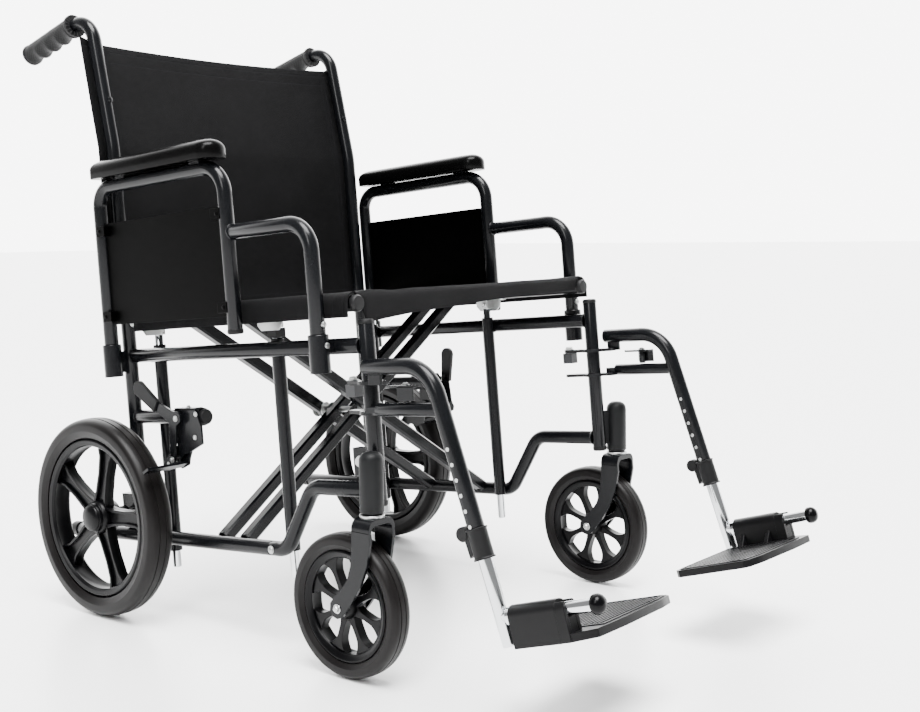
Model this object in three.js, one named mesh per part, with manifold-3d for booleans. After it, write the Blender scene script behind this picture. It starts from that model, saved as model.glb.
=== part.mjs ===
// Heavy-duty folding transport wheelchair with swing-away footrests.
// Units are millimetres. +Z is up, the chair faces -Y, and the occupant's right side is -X.
// The origin lies on the ground, on the centre plane, half way along the chair.
import * as THREE from 'three';
import { mergeVertices } from 'three/addons/utils/BufferGeometryUtils.js';
import Module from 'manifold-3d';

const wasm = await Module();
wasm.setup();

// ---- driving dimensions -------------------------------------------------------------
const GAP = 0.3;                   // clearance between parts that touch
const TUBE_R = 11.1;               // 7/8 in. frame tube
const SIDE_X = 268.3;              // centre of each side frame; a 22 in. sling spans the rails
const LEAN = -4.585;               // degrees the whole frame leans back on its wheels
const FRAME_Y = -8.9;              // frame origin above and behind the rear axle
const FRAME_Z = -19.9;
const ORIGIN_Y = 339.6;            // shifts the rear axle so that the box is centred on Y

const REAR_POST_Y = -27.9;
const FRONT_POST_Y = -566.7;
const MID_RAIL_Z = 430.9;
const LOW_RAIL_Z = 137.5;
const STEP_RAIL_Z = 232.5;
const CANE_BEND_Z = 770;
const HANDLE_CORNER = [5.7, 989.9];
const HANDLE_END = [167, 960];

const SEAT_RAIL_X = 268.8;
const SEAT_RAIL_Z = 488.5;
const SEAT_FRONT_Y = -553;
const SEAT_REAR_Y = -64;

const GUIDE_X = 246.9;
const GUIDE_R = 10;
const ROD_R = 6.6;
const FRONT_GUIDE_Y = -361.6;
const REAR_GUIDE_Y = -78.2;

const BRACE_Y = -245;              // centre bolt of the cross brace
const BAR = 19;                    // square brace bar
const INNER_BARS = 26;             // half spacing of the right-hand member's bars
const OUTER_BARS = 62;             // half spacing of the left-hand member's bars
const SLEEVE = [-340, -105];       // turning length of each lower rail
const PIN_R = 8.2;

const ARM_X = 301.9;
const ARM_REAR_Y = -27.5;
const ARM_FRONT_Y = -335;
const ARM_LOOP_Y = -507;
const ARM_TOP_Z = 703;
const ARM_LOOP_Z = 604.9;
const SOCKET_R = 14.4;

const REAR_WHEEL_R = 158.75;       // 12.5 in. wheel
const REAR_WHEEL_X = 331;
const REAR_TYRE_W = 45;
const CASTER_R = 100;              // 8 in. caster
const CASTER_X = 298;
const CASTER_W = 34;
const STEM_Y = -570.5;
const CASTER_Y = -525.5;
const HOUSING_Z = [234, 309];

const HANGER_X = 288.8;
const HANGER_ARM_Z = 402;
const HANGER_CORNER = [-693.4, 402];
const HANGER_FOOT = [-757.8, 175.3];
const HANGER_BAR_Z = 345;
const EXTENSION_R = 9.5;
const SHAFT_TIP = [-933.4, 117.3];
const SHAFT_PITCH = 11.93;         // degrees, toes up, measured in the leaning frame

const BRAKE_TUBE_Z = 332;
const LEVER_PIVOT = [-152, 268];
const SHOE_PIVOT = [-162, 284];

// ---- materials ----------------------------------------------------------------------
const finish = (color, roughness, metalness) =>
  new THREE.MeshStandardMaterial({ color, roughness, metalness });
const paint = () => finish(0x2b2e31, 0.3, 0.5);
const chrome = () => finish(0xc9cccf, 0.12, 1);
const steel = () => finish(0x8f9295, 0.35, 0.9);
const plastic = () => finish(0x1b1c1d, 0.5, 0);
const rubber = () => finish(0x2a2829, 0.75, 0);
const tyre = () => finish(0x35312f, 0.8, 0);
const nylon = () => finish(0x26282a, 0.9, 0);
const vinyl = () => finish(0x17181a, 0.35, 0);

// ---- solids -------------------------------------------------------------------------
const rad = (degrees) => (degrees * Math.PI) / 180;

function solid(geometry) {
  const g = geometry.clone();
  g.deleteAttribute('normal');
  g.deleteAttribute('uv');
  const m = mergeVertices(g, 1e-4);
  const index = m.index ? m.index.array : [...Array(m.attributes.position.count).keys()];
  return new wasm.Manifold(new wasm.Mesh({
    numProp: 3,
    vertProperties: new Float32Array(m.attributes.position.array),
    triVerts: new Uint32Array(index),
  }));
}

function geometryOf(manifold) {
  const mesh = manifold.getMesh();
  const points = [];
  for (let i = 0; i < mesh.vertProperties.length; i += mesh.numProp) {
    points.push(mesh.vertProperties[i], mesh.vertProperties[i + 1], mesh.vertProperties[i + 2]);
  }
  const geometry = new THREE.BufferGeometry();
  geometry.setAttribute('position', new THREE.Float32BufferAttribute(points, 3));
  geometry.setIndex(Array.from(mesh.triVerts));
  const flat = geometry.toNonIndexed();
  flat.computeVertexNormals();
  return flat;
}

const join = (...parts) => wasm.Manifold.union(parts);
const cut = (body, ...tools) => wasm.Manifold.difference([body, ...tools]);

// A round bar or tube skin along a polyline whose corners are rounded to a bend radius.
function sweep(corners, radius, bend = 0, sides = 12, steps = 4) {
  const p = corners.map((c) => new THREE.Vector3(...c));
  const stations = [[p[0], p[1].clone().sub(p[0]).normalize()]];
  for (let i = 1; i < p.length - 1; i += 1) {
    const a = p[i].clone().sub(p[i - 1]).normalize();
    const b = p[i + 1].clone().sub(p[i]).normalize();
    const angle = Math.acos(THREE.MathUtils.clamp(a.dot(b), -1, 1));
    const axis = a.clone().cross(b).normalize();
    const r = Array.isArray(bend) ? bend[i - 1] : bend;
    const start = p[i].clone().addScaledVector(a, -r * Math.tan(angle / 2));
    const centre = start.clone().addScaledVector(axis.clone().cross(a).normalize(), r);
    const count = Math.max(2, Math.round((steps * angle) / (Math.PI / 2)));
    for (let k = 0; k <= count; k += 1) {
      const t = (angle * k) / count;
      const at = start.clone().sub(centre).applyAxisAngle(axis, t).add(centre);
      stations.push([at, a.clone().applyAxisAngle(axis, t)]);
    }
  }
  const last = p.length - 1;
  stations.push([p[last], p[last].clone().sub(p[last - 1]).normalize()]);
  let side = Math.abs(stations[0][1].x) > 0.9 ? new THREE.Vector3(0, 0, 1) : new THREE.Vector3(1, 0, 0);
  const points = [];
  for (const [at, along] of stations) {
    side = side.clone().addScaledVector(along, -side.dot(along)).normalize();
    const up = along.clone().cross(side);
    for (let k = 0; k < sides; k += 1) {
      const t = (2 * Math.PI * k) / sides;
      points.push(at.clone().addScaledVector(side, radius * Math.cos(t)).addScaledVector(up, radius * Math.sin(t)));
    }
  }
  const faces = [];
  for (let i = 0; i < stations.length - 1; i += 1) {
    for (let k = 0; k < sides; k += 1) {
      const n = (k + 1) % sides;
      const [a, b] = [i * sides + k, i * sides + n];
      faces.push(a, b, b + sides, a, b + sides, a + sides);
    }
  }
  const end = (stations.length - 1) * sides;
  for (let k = 1; k < sides - 1; k += 1) {
    faces.push(0, k + 1, k, end, end + k, end + k + 1);
  }
  const geometry = new THREE.BufferGeometry();
  geometry.setAttribute('position', new THREE.Float32BufferAttribute(points.flatMap((v) => v.toArray()), 3));
  geometry.setIndex(faces);
  return solid(geometry);
}

const rod = (a, b, radius, sides = 16) => sweep([a, b], radius, 0, sides);

function box(x0, x1, y0, y1, z0, z1) {
  const g = new THREE.BoxGeometry(Math.abs(x1 - x0), Math.abs(y1 - y0), Math.abs(z1 - z0));
  g.translate((x0 + x1) / 2, (y0 + y1) / 2, (z0 + z1) / 2);
  return solid(g);
}

// A flat outline in the Y-Z plane, extruded along X.
function slab(outline, x0, x1) {
  const shape = new THREE.Shape(outline.map(([y, z]) => new THREE.Vector2(y, z)));
  const g = new THREE.ExtrudeGeometry(shape, { depth: Math.abs(x1 - x0), bevelEnabled: false });
  g.applyMatrix4(new THREE.Matrix4().set(0, 0, 1, Math.min(x0, x1), 1, 0, 0, 0, 0, 1, 0, 0, 0, 0, 0, 1));
  return solid(g);
}

// A profile of [radius, x] points turned about an axis along X through (y, z).
function turned(profile, y, z, sides) {
  const g = new THREE.LatheGeometry(profile.map(([r, x]) => new THREE.Vector2(r, x)), sides);
  g.applyMatrix4(new THREE.Matrix4().set(0, 1, 0, 0, 1, 0, 0, y, 0, 0, -1, z, 0, 0, 0, 1));
  return solid(g);
}

// Turns an outline about a vertical axis through (x, y).
function upright(profile, x, y, sides = 16) {
  const g = new THREE.LatheGeometry(profile.map(([r, z]) => new THREE.Vector2(r, z)), sides);
  g.applyMatrix4(new THREE.Matrix4().set(1, 0, 0, x, 0, 0, -1, y, 0, 1, 0, 0, 0, 0, 0, 1));
  return solid(g);
}

const leaning = new THREE.Matrix4()
  .makeTranslation(0, ORIGIN_Y + FRAME_Y, FRAME_Z)
  .multiply(new THREE.Matrix4().makeRotationX(rad(LEAN)));
const placed = (m, matrix) => m.transform(Array.from(matrix.elements));
const onFrame = (m) => placed(m, leaning);
const onGround = (m) => m.translate([0, ORIGIN_Y, 0]);

// ---- assembly -----------------------------------------------------------------------
const group = new THREE.Group();
group.name = 'wheelchair';

function add(name, manifold, material) {
  const mesh = new THREE.Mesh(geometryOf(manifold), material);
  mesh.name = name;
  group.add(mesh);
}

// Every side part is drawn for the right side (negative X) and mirrored for the left.
function pair(name, manifold, material) {
  add(`${name}_right`, manifold, material());
  add(`${name}_left`, manifold.mirror([1, 0, 0]), material());
}

// ---- side frames --------------------------------------------------------------------
const sx = -SIDE_X;
const caneSlope = (HANDLE_CORNER[0] - REAR_POST_Y) / (HANDLE_CORNER[1] - CANE_BEND_Z);
const rearSocket = join(
  rod([-ARM_X, ARM_REAR_Y, 400], [-ARM_X, ARM_REAR_Y, 452], SOCKET_R, 16),
  box(-ARM_X + 4, sx, REAR_POST_Y - 5, REAR_POST_Y + 5, 406, 440),
);
const armBore = (y) => rod([-ARM_X, y, 390], [-ARM_X, y, 460], TUBE_R + GAP, 16);
const backPost = onFrame(cut(
  join(
    sweep([
      [sx, REAR_POST_Y, LOW_RAIL_Z + TUBE_R + GAP],
      [sx, REAR_POST_Y, CANE_BEND_Z],
      [sx, HANDLE_CORNER[0], HANDLE_CORNER[1]],
      [sx, HANDLE_END[0], HANDLE_END[1]],
    ], TUBE_R, [160, 42]),
    rearSocket,
    box(sx - 9, sx + 9, REAR_POST_Y - 4, 14, 150, 206),
  ),
  armBore(ARM_REAR_Y),
));
const axle = onGround(join(
  rod([sx + 4, 0, REAR_WHEEL_R], [-352, 0, REAR_WHEEL_R], 6),
  rod([sx, 0, REAR_WHEEL_R], [-306, 0, REAR_WHEEL_R], 10),
));
pair('back_post', join(backPost, axle), paint);

const gripAlong = [HANDLE_END[0] - HANDLE_CORNER[0], HANDLE_END[1] - HANDLE_CORNER[1]];
const gripLength = Math.hypot(...gripAlong);
const gripAt = (d) => [
  sx,
  HANDLE_CORNER[0] + (gripAlong[0] * d) / gripLength,
  HANDLE_CORNER[1] + (gripAlong[1] * d) / gripLength,
];
let grip = join(
  rod(gripAt(48), gripAt(182), 17, 16),
  rod(gripAt(44), gripAt(50), 18.5, 16),
);
for (let i = 0; i < 4; i += 1) {
  const c = gripAt(66 + 29 * i);
  grip = cut(grip, rod([sx - 30, c[1], c[2] - 27], [sx + 30, c[1], c[2] - 27], 15, 16));
}
pair('push_grip', onFrame(cut(grip, rod(gripAt(30), gripAt(gripLength + 0.5), TUBE_R + GAP, 16))), rubber);

const frontSocket = join(
  rod([-ARM_X, ARM_LOOP_Y, 396.5], [-ARM_X, ARM_LOOP_Y, 449.5], SOCKET_R, 16),
  box(-ARM_X + 4, sx, ARM_LOOP_Y - 7, ARM_LOOP_Y + 7, 423, 439),
);
pair('seat_frame_rail', onFrame(cut(
  join(
    rod([sx, REAR_POST_Y - TUBE_R - GAP, MID_RAIL_Z], [sx, FRONT_POST_Y + TUBE_R + GAP, MID_RAIL_Z], TUBE_R),
    frontSocket,
  ),
  armBore(ARM_LOOP_Y),
)), paint);

pair('lower_rail', onFrame(join(
  rod([sx, 170, LOW_RAIL_Z], [sx, SLEEVE[1] + GAP, LOW_RAIL_Z], TUBE_R),
  rod([sx, SLEEVE[1] + 5, LOW_RAIL_Z], [sx, SLEEVE[0] - 5, LOW_RAIL_Z], PIN_R),
  sweep([
    [sx, SLEEVE[0] - GAP, LOW_RAIL_Z],
    [sx, -372.6, LOW_RAIL_Z],
    [sx, -437.6, STEP_RAIL_Z],
    [sx, FRONT_POST_Y + TUBE_R + GAP, STEP_RAIL_Z],
  ], TUBE_R, [32, 32]),
)), paint);

const housing = cut(
  join(
    upright([
      [0, HOUSING_Z[0]], [16, HOUSING_Z[0]], [16, HOUSING_Z[1]],
      [12.5, HOUSING_Z[1] + 5], [5, HOUSING_Z[1] + 7], [0, HOUSING_Z[1] + 7],
    ], -CASTER_X, STEM_Y),
    placed(box(-18, 18, -3, 3, 246, 302), new THREE.Matrix4()
      .makeTranslation(-(CASTER_X + SIDE_X) / 2, STEM_Y + 9, 0)
      .multiply(new THREE.Matrix4().makeRotationZ(rad(28)))),
  ),
  rod([-CASTER_X, STEM_Y, HOUSING_Z[0] - 2], [-CASTER_X, STEM_Y, HOUSING_Z[0] + 60], 6.8, 16),
);
pair('front_post', join(
  onFrame(rod([sx, FRONT_POST_Y, 215.7], [sx, FRONT_POST_Y, 462.3], TUBE_R)),
  onGround(housing),
), paint);

for (const [name, y, low] of [['front', FRONT_GUIDE_Y, 131.5], ['rear', REAR_GUIDE_Y, 112]]) {
  pair(`guide_tube_${name}`, onFrame(cut(
    rod([-GUIDE_X, y, low], [-GUIDE_X, y, 446], GUIDE_R),
    rod([-GUIDE_X, y, low - 5], [-GUIDE_X, y, 451], ROD_R + GAP),
  )), paint);
}

pair('brake_tube', onFrame(rod(
  [sx, REAR_POST_Y - TUBE_R - GAP, BRAKE_TUBE_Z],
  [sx, -209, BRAKE_TUBE_Z],
  TUBE_R,
)), paint);

// ---- cross brace and seat rails -----------------------------------------------------
const braceAngle = Math.atan2(SEAT_RAIL_Z - LOW_RAIL_Z, SEAT_RAIL_X + SIDE_X);
const braceLength = Math.hypot(SEAT_RAIL_Z - LOW_RAIL_Z, SEAT_RAIL_X + SIDE_X);
function member(spacing) {
  const bars = [-spacing, spacing].map((dy) => {
    const g = new THREE.BoxGeometry(braceLength - TUBE_R - GAP - 9.5, BAR, BAR);
    g.translate((braceLength - TUBE_R - GAP + 9.5) / 2, BRACE_Y + dy, 0);
    g.rotateY(-braceAngle);
    g.translate(sx, 0, LOW_RAIL_Z);
    return solid(g);
  });
  return cut(
    join(...bars, rod([sx, SLEEVE[0], LOW_RAIL_Z], [sx, SLEEVE[1], LOW_RAIL_Z], TUBE_R)),
    rod([sx, SLEEVE[0] - 5, LOW_RAIL_Z], [sx, SLEEVE[1] + 5, LOW_RAIL_Z], PIN_R + GAP),
  );
}
const boltZ = LOW_RAIL_Z + SIDE_X * Math.tan(braceAngle);
add('cross_brace_right', onFrame(cut(
  member(INNER_BARS),
  rod([0, BRACE_Y - 60, boltZ], [0, BRACE_Y + 60, boltZ], 5 + GAP),
)), paint());
add('cross_brace_left', onFrame(join(
  member(OUTER_BARS).mirror([1, 0, 0]),
  rod([0, BRACE_Y - 76, boltZ], [0, BRACE_Y + 76, boltZ], 5),
)), paint());
pair('seat_rail', onFrame(join(
  rod([-SEAT_RAIL_X, SEAT_FRONT_Y, SEAT_RAIL_Z], [-SEAT_RAIL_X, SEAT_REAR_Y, SEAT_RAIL_Z], TUBE_R),
  rod([-SEAT_RAIL_X, SEAT_FRONT_Y - 5, SEAT_RAIL_Z], [-SEAT_RAIL_X, SEAT_REAR_Y + 5, SEAT_RAIL_Z], 9.6),
)), paint);

for (const [name, y, low] of [['front', FRONT_GUIDE_Y, 90], ['rear', REAR_GUIDE_Y, 85]]) {
  pair(`guide_rod_${name}`, onFrame(cut(
    join(
      rod([-GUIDE_X, y, low], [-GUIDE_X, y, 474], ROD_R),
      rod([-SEAT_RAIL_X, y - 13, SEAT_RAIL_Z], [-SEAT_RAIL_X, y + 13, SEAT_RAIL_Z], 13, 16),
      box(-GUIDE_X - 16, -GUIDE_X + 8, y - 9, y + 9, 455, 490),
    ),
    rod([-SEAT_RAIL_X, y - 20, SEAT_RAIL_Z], [-SEAT_RAIL_X, y + 20, SEAT_RAIL_Z], TUBE_R + GAP, 16),
  )), chrome);
}

// ---- slings -------------------------------------------------------------------------
const seatHalf = SEAT_RAIL_X + 15.6;
function sling(profile, y0, y1) {
  const shape = new THREE.Shape(profile.map(([x, z]) => new THREE.Vector2(x, z)));
  const g = new THREE.ExtrudeGeometry(shape, { depth: y1 - y0, bevelEnabled: false });
  g.applyMatrix4(new THREE.Matrix4().set(1, 0, 0, 0, 0, 0, -1, y1, 0, 1, 0, 0, 0, 0, 0, 1));
  return solid(g);
}
add('seat_sling', onFrame(join(
  sling([
    [-seatHalf, 478], [-seatHalf + 1.4, 478], [-seatHalf + 1.4, 502.2],
    [seatHalf - 1.4, 502.2], [seatHalf - 1.4, 478], [seatHalf, 478], [seatHalf, 505], [-seatHalf, 505],
  ], -547, -70),
  box(-254, 254, -549.5, -546, 470, 504),
)), nylon());

const backAt = (z, off) => {
  const y = z < CANE_BEND_Z ? REAR_POST_Y : REAR_POST_Y + (z - CANE_BEND_Z) * caneSlope;
  return y + TUBE_R + off;
};
const backOutline = [];
for (const z of [516, 640, 740, 800, 946]) {
  backOutline.push([backAt(z, 1.2), z]);
}
for (const z of [946, 800, 740, 640, 516]) {
  backOutline.push([backAt(z, 4.2), z]);
}
add('back_sling', onFrame(slab(backOutline, -291, 291)), nylon());

// ---- armrests -----------------------------------------------------------------------
pair('armrest_tube', onFrame(join(
  sweep([
    [-ARM_X, ARM_REAR_Y, 403],
    [-ARM_X, ARM_REAR_Y, ARM_TOP_Z],
    [-ARM_X, ARM_FRONT_Y, ARM_TOP_Z],
    [-ARM_X, ARM_FRONT_Y, 461],
  ], TUBE_R, [32, 42]),
  sweep([
    [-ARM_X, ARM_FRONT_Y, ARM_LOOP_Z],
    [-ARM_X, ARM_LOOP_Y, ARM_LOOP_Z],
    [-ARM_X, ARM_LOOP_Y, 400],
  ], TUBE_R, 42),
)), paint);
pair('armrest_panel', onFrame(box(
  -ARM_X - 2, -ARM_X + 2, ARM_FRONT_Y + TUBE_R + GAP, ARM_REAR_Y - TUBE_R - GAP, 483.5, 645,
)), plastic);

const padShape = new THREE.Shape();
const [padRear, padFront, padHalf] = [-36, -330, 26];
padShape.moveTo(-ARM_X - padHalf, padRear - 14);
padShape.lineTo(-ARM_X - padHalf, padFront + 24);
padShape.quadraticCurveTo(-ARM_X - padHalf + 4, padFront, -ARM_X, padFront);
padShape.quadraticCurveTo(-ARM_X + padHalf - 4, padFront, -ARM_X + padHalf, padFront + 24);
padShape.lineTo(-ARM_X + padHalf, padRear - 14);
padShape.quadraticCurveTo(-ARM_X + padHalf, padRear, -ARM_X + padHalf - 14, padRear);
padShape.lineTo(-ARM_X - padHalf + 14, padRear);
padShape.quadraticCurveTo(-ARM_X - padHalf, padRear, -ARM_X - padHalf, padRear - 14);
const padGeometry = new THREE.ExtrudeGeometry(padShape, {
  depth: 11, bevelEnabled: true, bevelThickness: 9, bevelSize: 8, bevelOffset: -8, bevelSegments: 2, curveSegments: 3,
});
padGeometry.translate(0, 0, ARM_TOP_Z + TUBE_R + GAP + 9);
pair('armrest_pad', onFrame(solid(padGeometry)), vinyl);

// ---- rear wheels --------------------------------------------------------------------
const wx = -REAR_WHEEL_X;
const tyreProfile = (R, inner, half, crown) => [
  [inner, -half + 4], [R - crown, -half], [R - crown * 0.35, -half + crown * 0.35], [R, -half + crown * 1.05],
  [R, half - crown * 1.05], [R - crown * 0.35, half - crown * 0.35], [R - crown, half], [inner, half - 4], [inner, -half + 4],
];
const shifted = (profile, x) => profile.map(([r, dx]) => [r, dx + x]);
const rearTyre = shifted(tyreProfile(REAR_WHEEL_R, 128.3, REAR_TYRE_W / 2, 13), wx);
pair('rear_tyre', onGround(turned(rearTyre, 0, REAR_WHEEL_R, 32)), tyre);

const rearSpokes = [];
for (let i = 0; i < 5; i += 1) {
  const g = new THREE.BoxGeometry(13, 24, 106);
  g.translate(wx - 1, 0, 14 + 53);
  const m = solid(g);
  rearSpokes.push(m.rotate([13 + 72 * i, 0, 0]).translate([0, 0, REAR_WHEEL_R]));
}
pair('rear_wheel', onGround(cut(
  join(
    turned(shifted([
      [118, -16], [124, -18], [128, -15], [128, 15], [124, 18], [118, 16], [118, -16],
    ], wx), 0, REAR_WHEEL_R, 32),
    turned(shifted([
      [0, -27], [9, -26.5], [17, -24], [22, -19], [22, -12], [27, -8], [25, 14], [21, 22], [0, 22],
    ], wx), 0, REAR_WHEEL_R, 16),
    ...rearSpokes,
  ),
  rod([wx + 40, 0, REAR_WHEEL_R], [-352 - GAP, 0, REAR_WHEEL_R], 6 + GAP),
)), plastic);

// ---- casters ------------------------------------------------------------------------
const cx = -CASTER_X;
const casterTyre = shifted(tyreProfile(CASTER_R, 78.3, CASTER_W / 2, 10), cx);
pair('caster_tyre', onGround(turned(casterTyre, CASTER_Y, CASTER_R, 24)), tyre);

const casterSpokes = [];
for (let i = 0; i < 8; i += 1) {
  const g = new THREE.BoxGeometry(16, 9, 60);
  g.translate(cx, 0, 12 + 30);
  casterSpokes.push(solid(g).rotate([18 + 45 * i, 0, 0]).translate([0, CASTER_Y, CASTER_R]));
}
pair('caster_wheel', onGround(cut(
  join(
    turned(shifted([
      [68, -11], [74, -14], [78, -13], [78, 13], [74, 14], [68, 11], [68, -11],
    ], cx), CASTER_Y, CASTER_R, 24),
    rod([cx - 18, CASTER_Y, CASTER_R], [cx + 18, CASTER_Y, CASTER_R], 17, 16),
    ...casterSpokes,
  ),
  rod([cx - 30, CASTER_Y, CASTER_R], [cx + 30, CASTER_Y, CASTER_R], 5 + GAP),
)), plastic);

const legOutline = [
  [-588, 228], [-588, 196], [-580, 160], [-562, 124], [-541, 97], [-533, 88], [-524, 85], [-514, 89],
  [-510, 98], [-514, 110], [-527, 122], [-545, 140], [-553, 166], [-555, 196], [-555, 228],
];
pair('caster_fork', onGround(join(
  slab(legOutline, cx - 25, cx - 19.5),
  slab(legOutline, cx + 19.5, cx + 25),
  box(cx - 25, cx + 25, -588, -555, 219, 228),
  rod([cx, STEM_Y, 224], [cx, STEM_Y, HOUSING_Z[0] - GAP], 12, 16),
  rod([cx, STEM_Y, 224], [cx, STEM_Y, HOUSING_Z[0] + 55], 6.4),
  rod([cx - 28, CASTER_Y, CASTER_R], [cx + 28, CASTER_Y, CASTER_R], 5),
)), paint);

// ---- footrest hangers ---------------------------------------------------------------
const hx = -HANGER_X;
const hangerRise = [HANGER_CORNER[0] - HANGER_FOOT[0], HANGER_CORNER[1] - HANGER_FOOT[1]];
const hangerLength = Math.hypot(...hangerRise);
const alongHanger = (d) => [
  hx,
  HANGER_FOOT[0] + (hangerRise[0] * d) / hangerLength,
  HANGER_FOOT[1] + (hangerRise[1] * d) / hangerLength,
];
const ring = (z) => join(
  rod([sx, FRONT_POST_Y, z - 2.5], [sx, FRONT_POST_Y, z + 2.5], 17.5, 16),
  placed(box(-8, 8, 0, 50, z - 2.5, z + 2.5), new THREE.Matrix4()
    .makeTranslation(sx, FRONT_POST_Y, 0)
    .multiply(new THREE.Matrix4().makeRotationZ(rad(-12)))),
  box(hx - 3, sx, FRONT_POST_Y - 34, FRONT_POST_Y - 12, z - 2.5, z + 2.5),
);
pair('footrest_hanger', onFrame(cut(
  join(
    sweep([[hx, FRONT_POST_Y - 13.5, HANGER_ARM_Z], [hx, ...HANGER_CORNER], alongHanger(-14)], TUBE_R, 55),
    rod([hx, FRONT_POST_Y - 14, HANGER_BAR_Z], [hx, -709, HANGER_BAR_Z], 9, 14),
    box(hx - 2.5, hx + 2.5, FRONT_POST_Y - 40, FRONT_POST_Y - 18, 378, HANGER_ARM_Z),
    box(hx - 2.5, hx + 2.5, FRONT_POST_Y - 40, FRONT_POST_Y - 14, 337, HANGER_BAR_Z),
    ring(380),
    ring(339),
    rod([sx + 10, FRONT_POST_Y + 42, 339], [sx + 10, FRONT_POST_Y + 42, 385], 4, 12),
  ),
  rod([sx, FRONT_POST_Y, 330], [sx, FRONT_POST_Y, 390], TUBE_R + GAP, 16),
  rod(alongHanger(-20), alongHanger(192), EXTENSION_R + GAP, 16),
)), paint);

const latchPivot = [hx, -650];
pair('hanger_latch', onFrame(join(
  box(hx - 7, hx + 7, -668, -618, 374, 377),
  rod([hx, latchPivot[1], 354.5], [hx, latchPivot[1], 379], 5, 12),
  box(hx + 3, hx + 7, -668, -640, 358, 375),
)), steel);

const collarAt = alongHanger(6.5);
pair('height_collar', onFrame(cut(
  join(
    rod(alongHanger(-19), alongHanger(21.4), 14.2, 16),
    slab([
      [collarAt[1] + 8, collarAt[2] - 20], [collarAt[1] + 8, collarAt[2] + 14],
      [collarAt[1] + 20, collarAt[2] + 16], [collarAt[1] + 14, collarAt[2] - 26],
    ], hx - 6, hx + 6),
    rod([hx - 6, collarAt[1] + 26, collarAt[2] + 6], [hx + 6, collarAt[1] + 26, collarAt[2] + 6], 9.5, 16),
  ),
  rod(alongHanger(-20), alongHanger(35), TUBE_R + GAP, 16),
)), plastic);

const pitch = rad(SHAFT_PITCH);
const alongShaft = (s, a = 0, b = 0) => [
  hx + a,
  SHAFT_TIP[0] - s * Math.cos(pitch) + b * Math.sin(pitch),
  SHAFT_TIP[1] + s * Math.sin(pitch) + b * Math.cos(pitch),
];
const foot = alongHanger(-132);
pair('footrest_tube', onFrame(join(
  rod(foot, alongHanger(150), EXTENSION_R),
  rod(alongShaft(-152), alongShaft(-6), EXTENSION_R),
  rod(alongShaft(-8), alongShaft(0), 13.6, 16),
  rod(alongShaft(-2), alongShaft(6), 10.5, 16),
)), chrome);

const toShaft = new THREE.Matrix4()
  .makeTranslation(...alongShaft(0))
  .multiply(new THREE.Matrix4().makeRotationX(-pitch));
const plateOutline = [
  [-13.5, -135], [-13.5, -47], [3, -15], [60, -13], [150, -18], [178, -24], [185, -32],
  [185, -140], [178, -148], [30, -148], [30, -135],
];
const plateShape = new THREE.Shape(plateOutline.map(([l, s]) => new THREE.Vector2(l, -s)));
const plateGeometry = new THREE.ExtrudeGeometry(plateShape, { depth: 12, bevelEnabled: false });
plateGeometry.translate(0, 0, -39);
const block = join(
  box(-13.5, 13.5, 46, 135, -38, 0),
  rod([0, 46, 0], [0, 135, 0], 13.5, 16),
);
pair('footplate', onFrame(placed(cut(
  join(solid(plateGeometry), block),
  rod([0, 40, 0], [0, 140, 0], EXTENSION_R + GAP, 16),
), toShaft)), plastic);

// ---- wheel locks --------------------------------------------------------------------
const bx = -SIDE_X;
pair('brake_bracket', onFrame(cut(
  join(
    rod([bx, -154, BRAKE_TUBE_Z], [bx, -203, BRAKE_TUBE_Z], 14, 16),
    box(bx - 17, bx - 13, -203, -154, 302, BRAKE_TUBE_Z + 8),
    box(bx - 17, bx, -203, -154, BRAKE_TUBE_Z - 6, BRAKE_TUBE_Z + 8),
    slab([[-154, 318], [-154, 296], [-164, 276], [-180, 276], [-216, 292], [-216, 318]], bx - 17, bx - 13),
    slab([[-176, 290], [-154, 290], [-146, 270], [-150, 261], [-156, 262], [-172, 277]], bx - 17, bx - 13),
    rod([bx - 14, ...LEVER_PIVOT], [bx - 32, ...LEVER_PIVOT], 4, 12),
    rod([bx - 14, ...SHOE_PIVOT], [bx - 6, ...SHOE_PIVOT], 4, 12),
  ),
  rod([bx, -150, BRAKE_TUBE_Z], [bx, -210, BRAKE_TUBE_Z], TUBE_R + GAP, 16),
)), paint);

// The right lock is off and the left one is on: its lever is pushed forward and its shoe is in.
const LOCK_TURN = 63;
const lever = cut(
  join(
    slab([
      [-177, 339], [-177, 326], [-167, 322], [-156, 324], [-72, 374], [-67, 383],
      [-72, 393], [-83, 395], [-164, 343],
    ], bx - 27, bx - 22.6),
    slab([[-116, 345], [-72, 372], [-66, 382], [-72, 394], [-86, 396], [-128, 371]], bx - 30, bx - 22.6),
    slab([[-170, 330], [-150, 332], [-145, 268], [-149, 262], [-155, 262], [-159, 268]], bx - 27, bx - 22.6),
  ),
  rod([bx - 10, ...LEVER_PIVOT], [bx - 35, ...LEVER_PIVOT], 4 + GAP, 12),
);
const lockedLever = lever
  .translate([0, -LEVER_PIVOT[0], -LEVER_PIVOT[1]])
  .rotate([LOCK_TURN, 0, 0])
  .translate([0, ...LEVER_PIVOT]);
add('brake_lever_right', onFrame(lever), paint());
add('brake_lever_left', onFrame(lockedLever.mirror([1, 0, 0])), paint());

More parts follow.
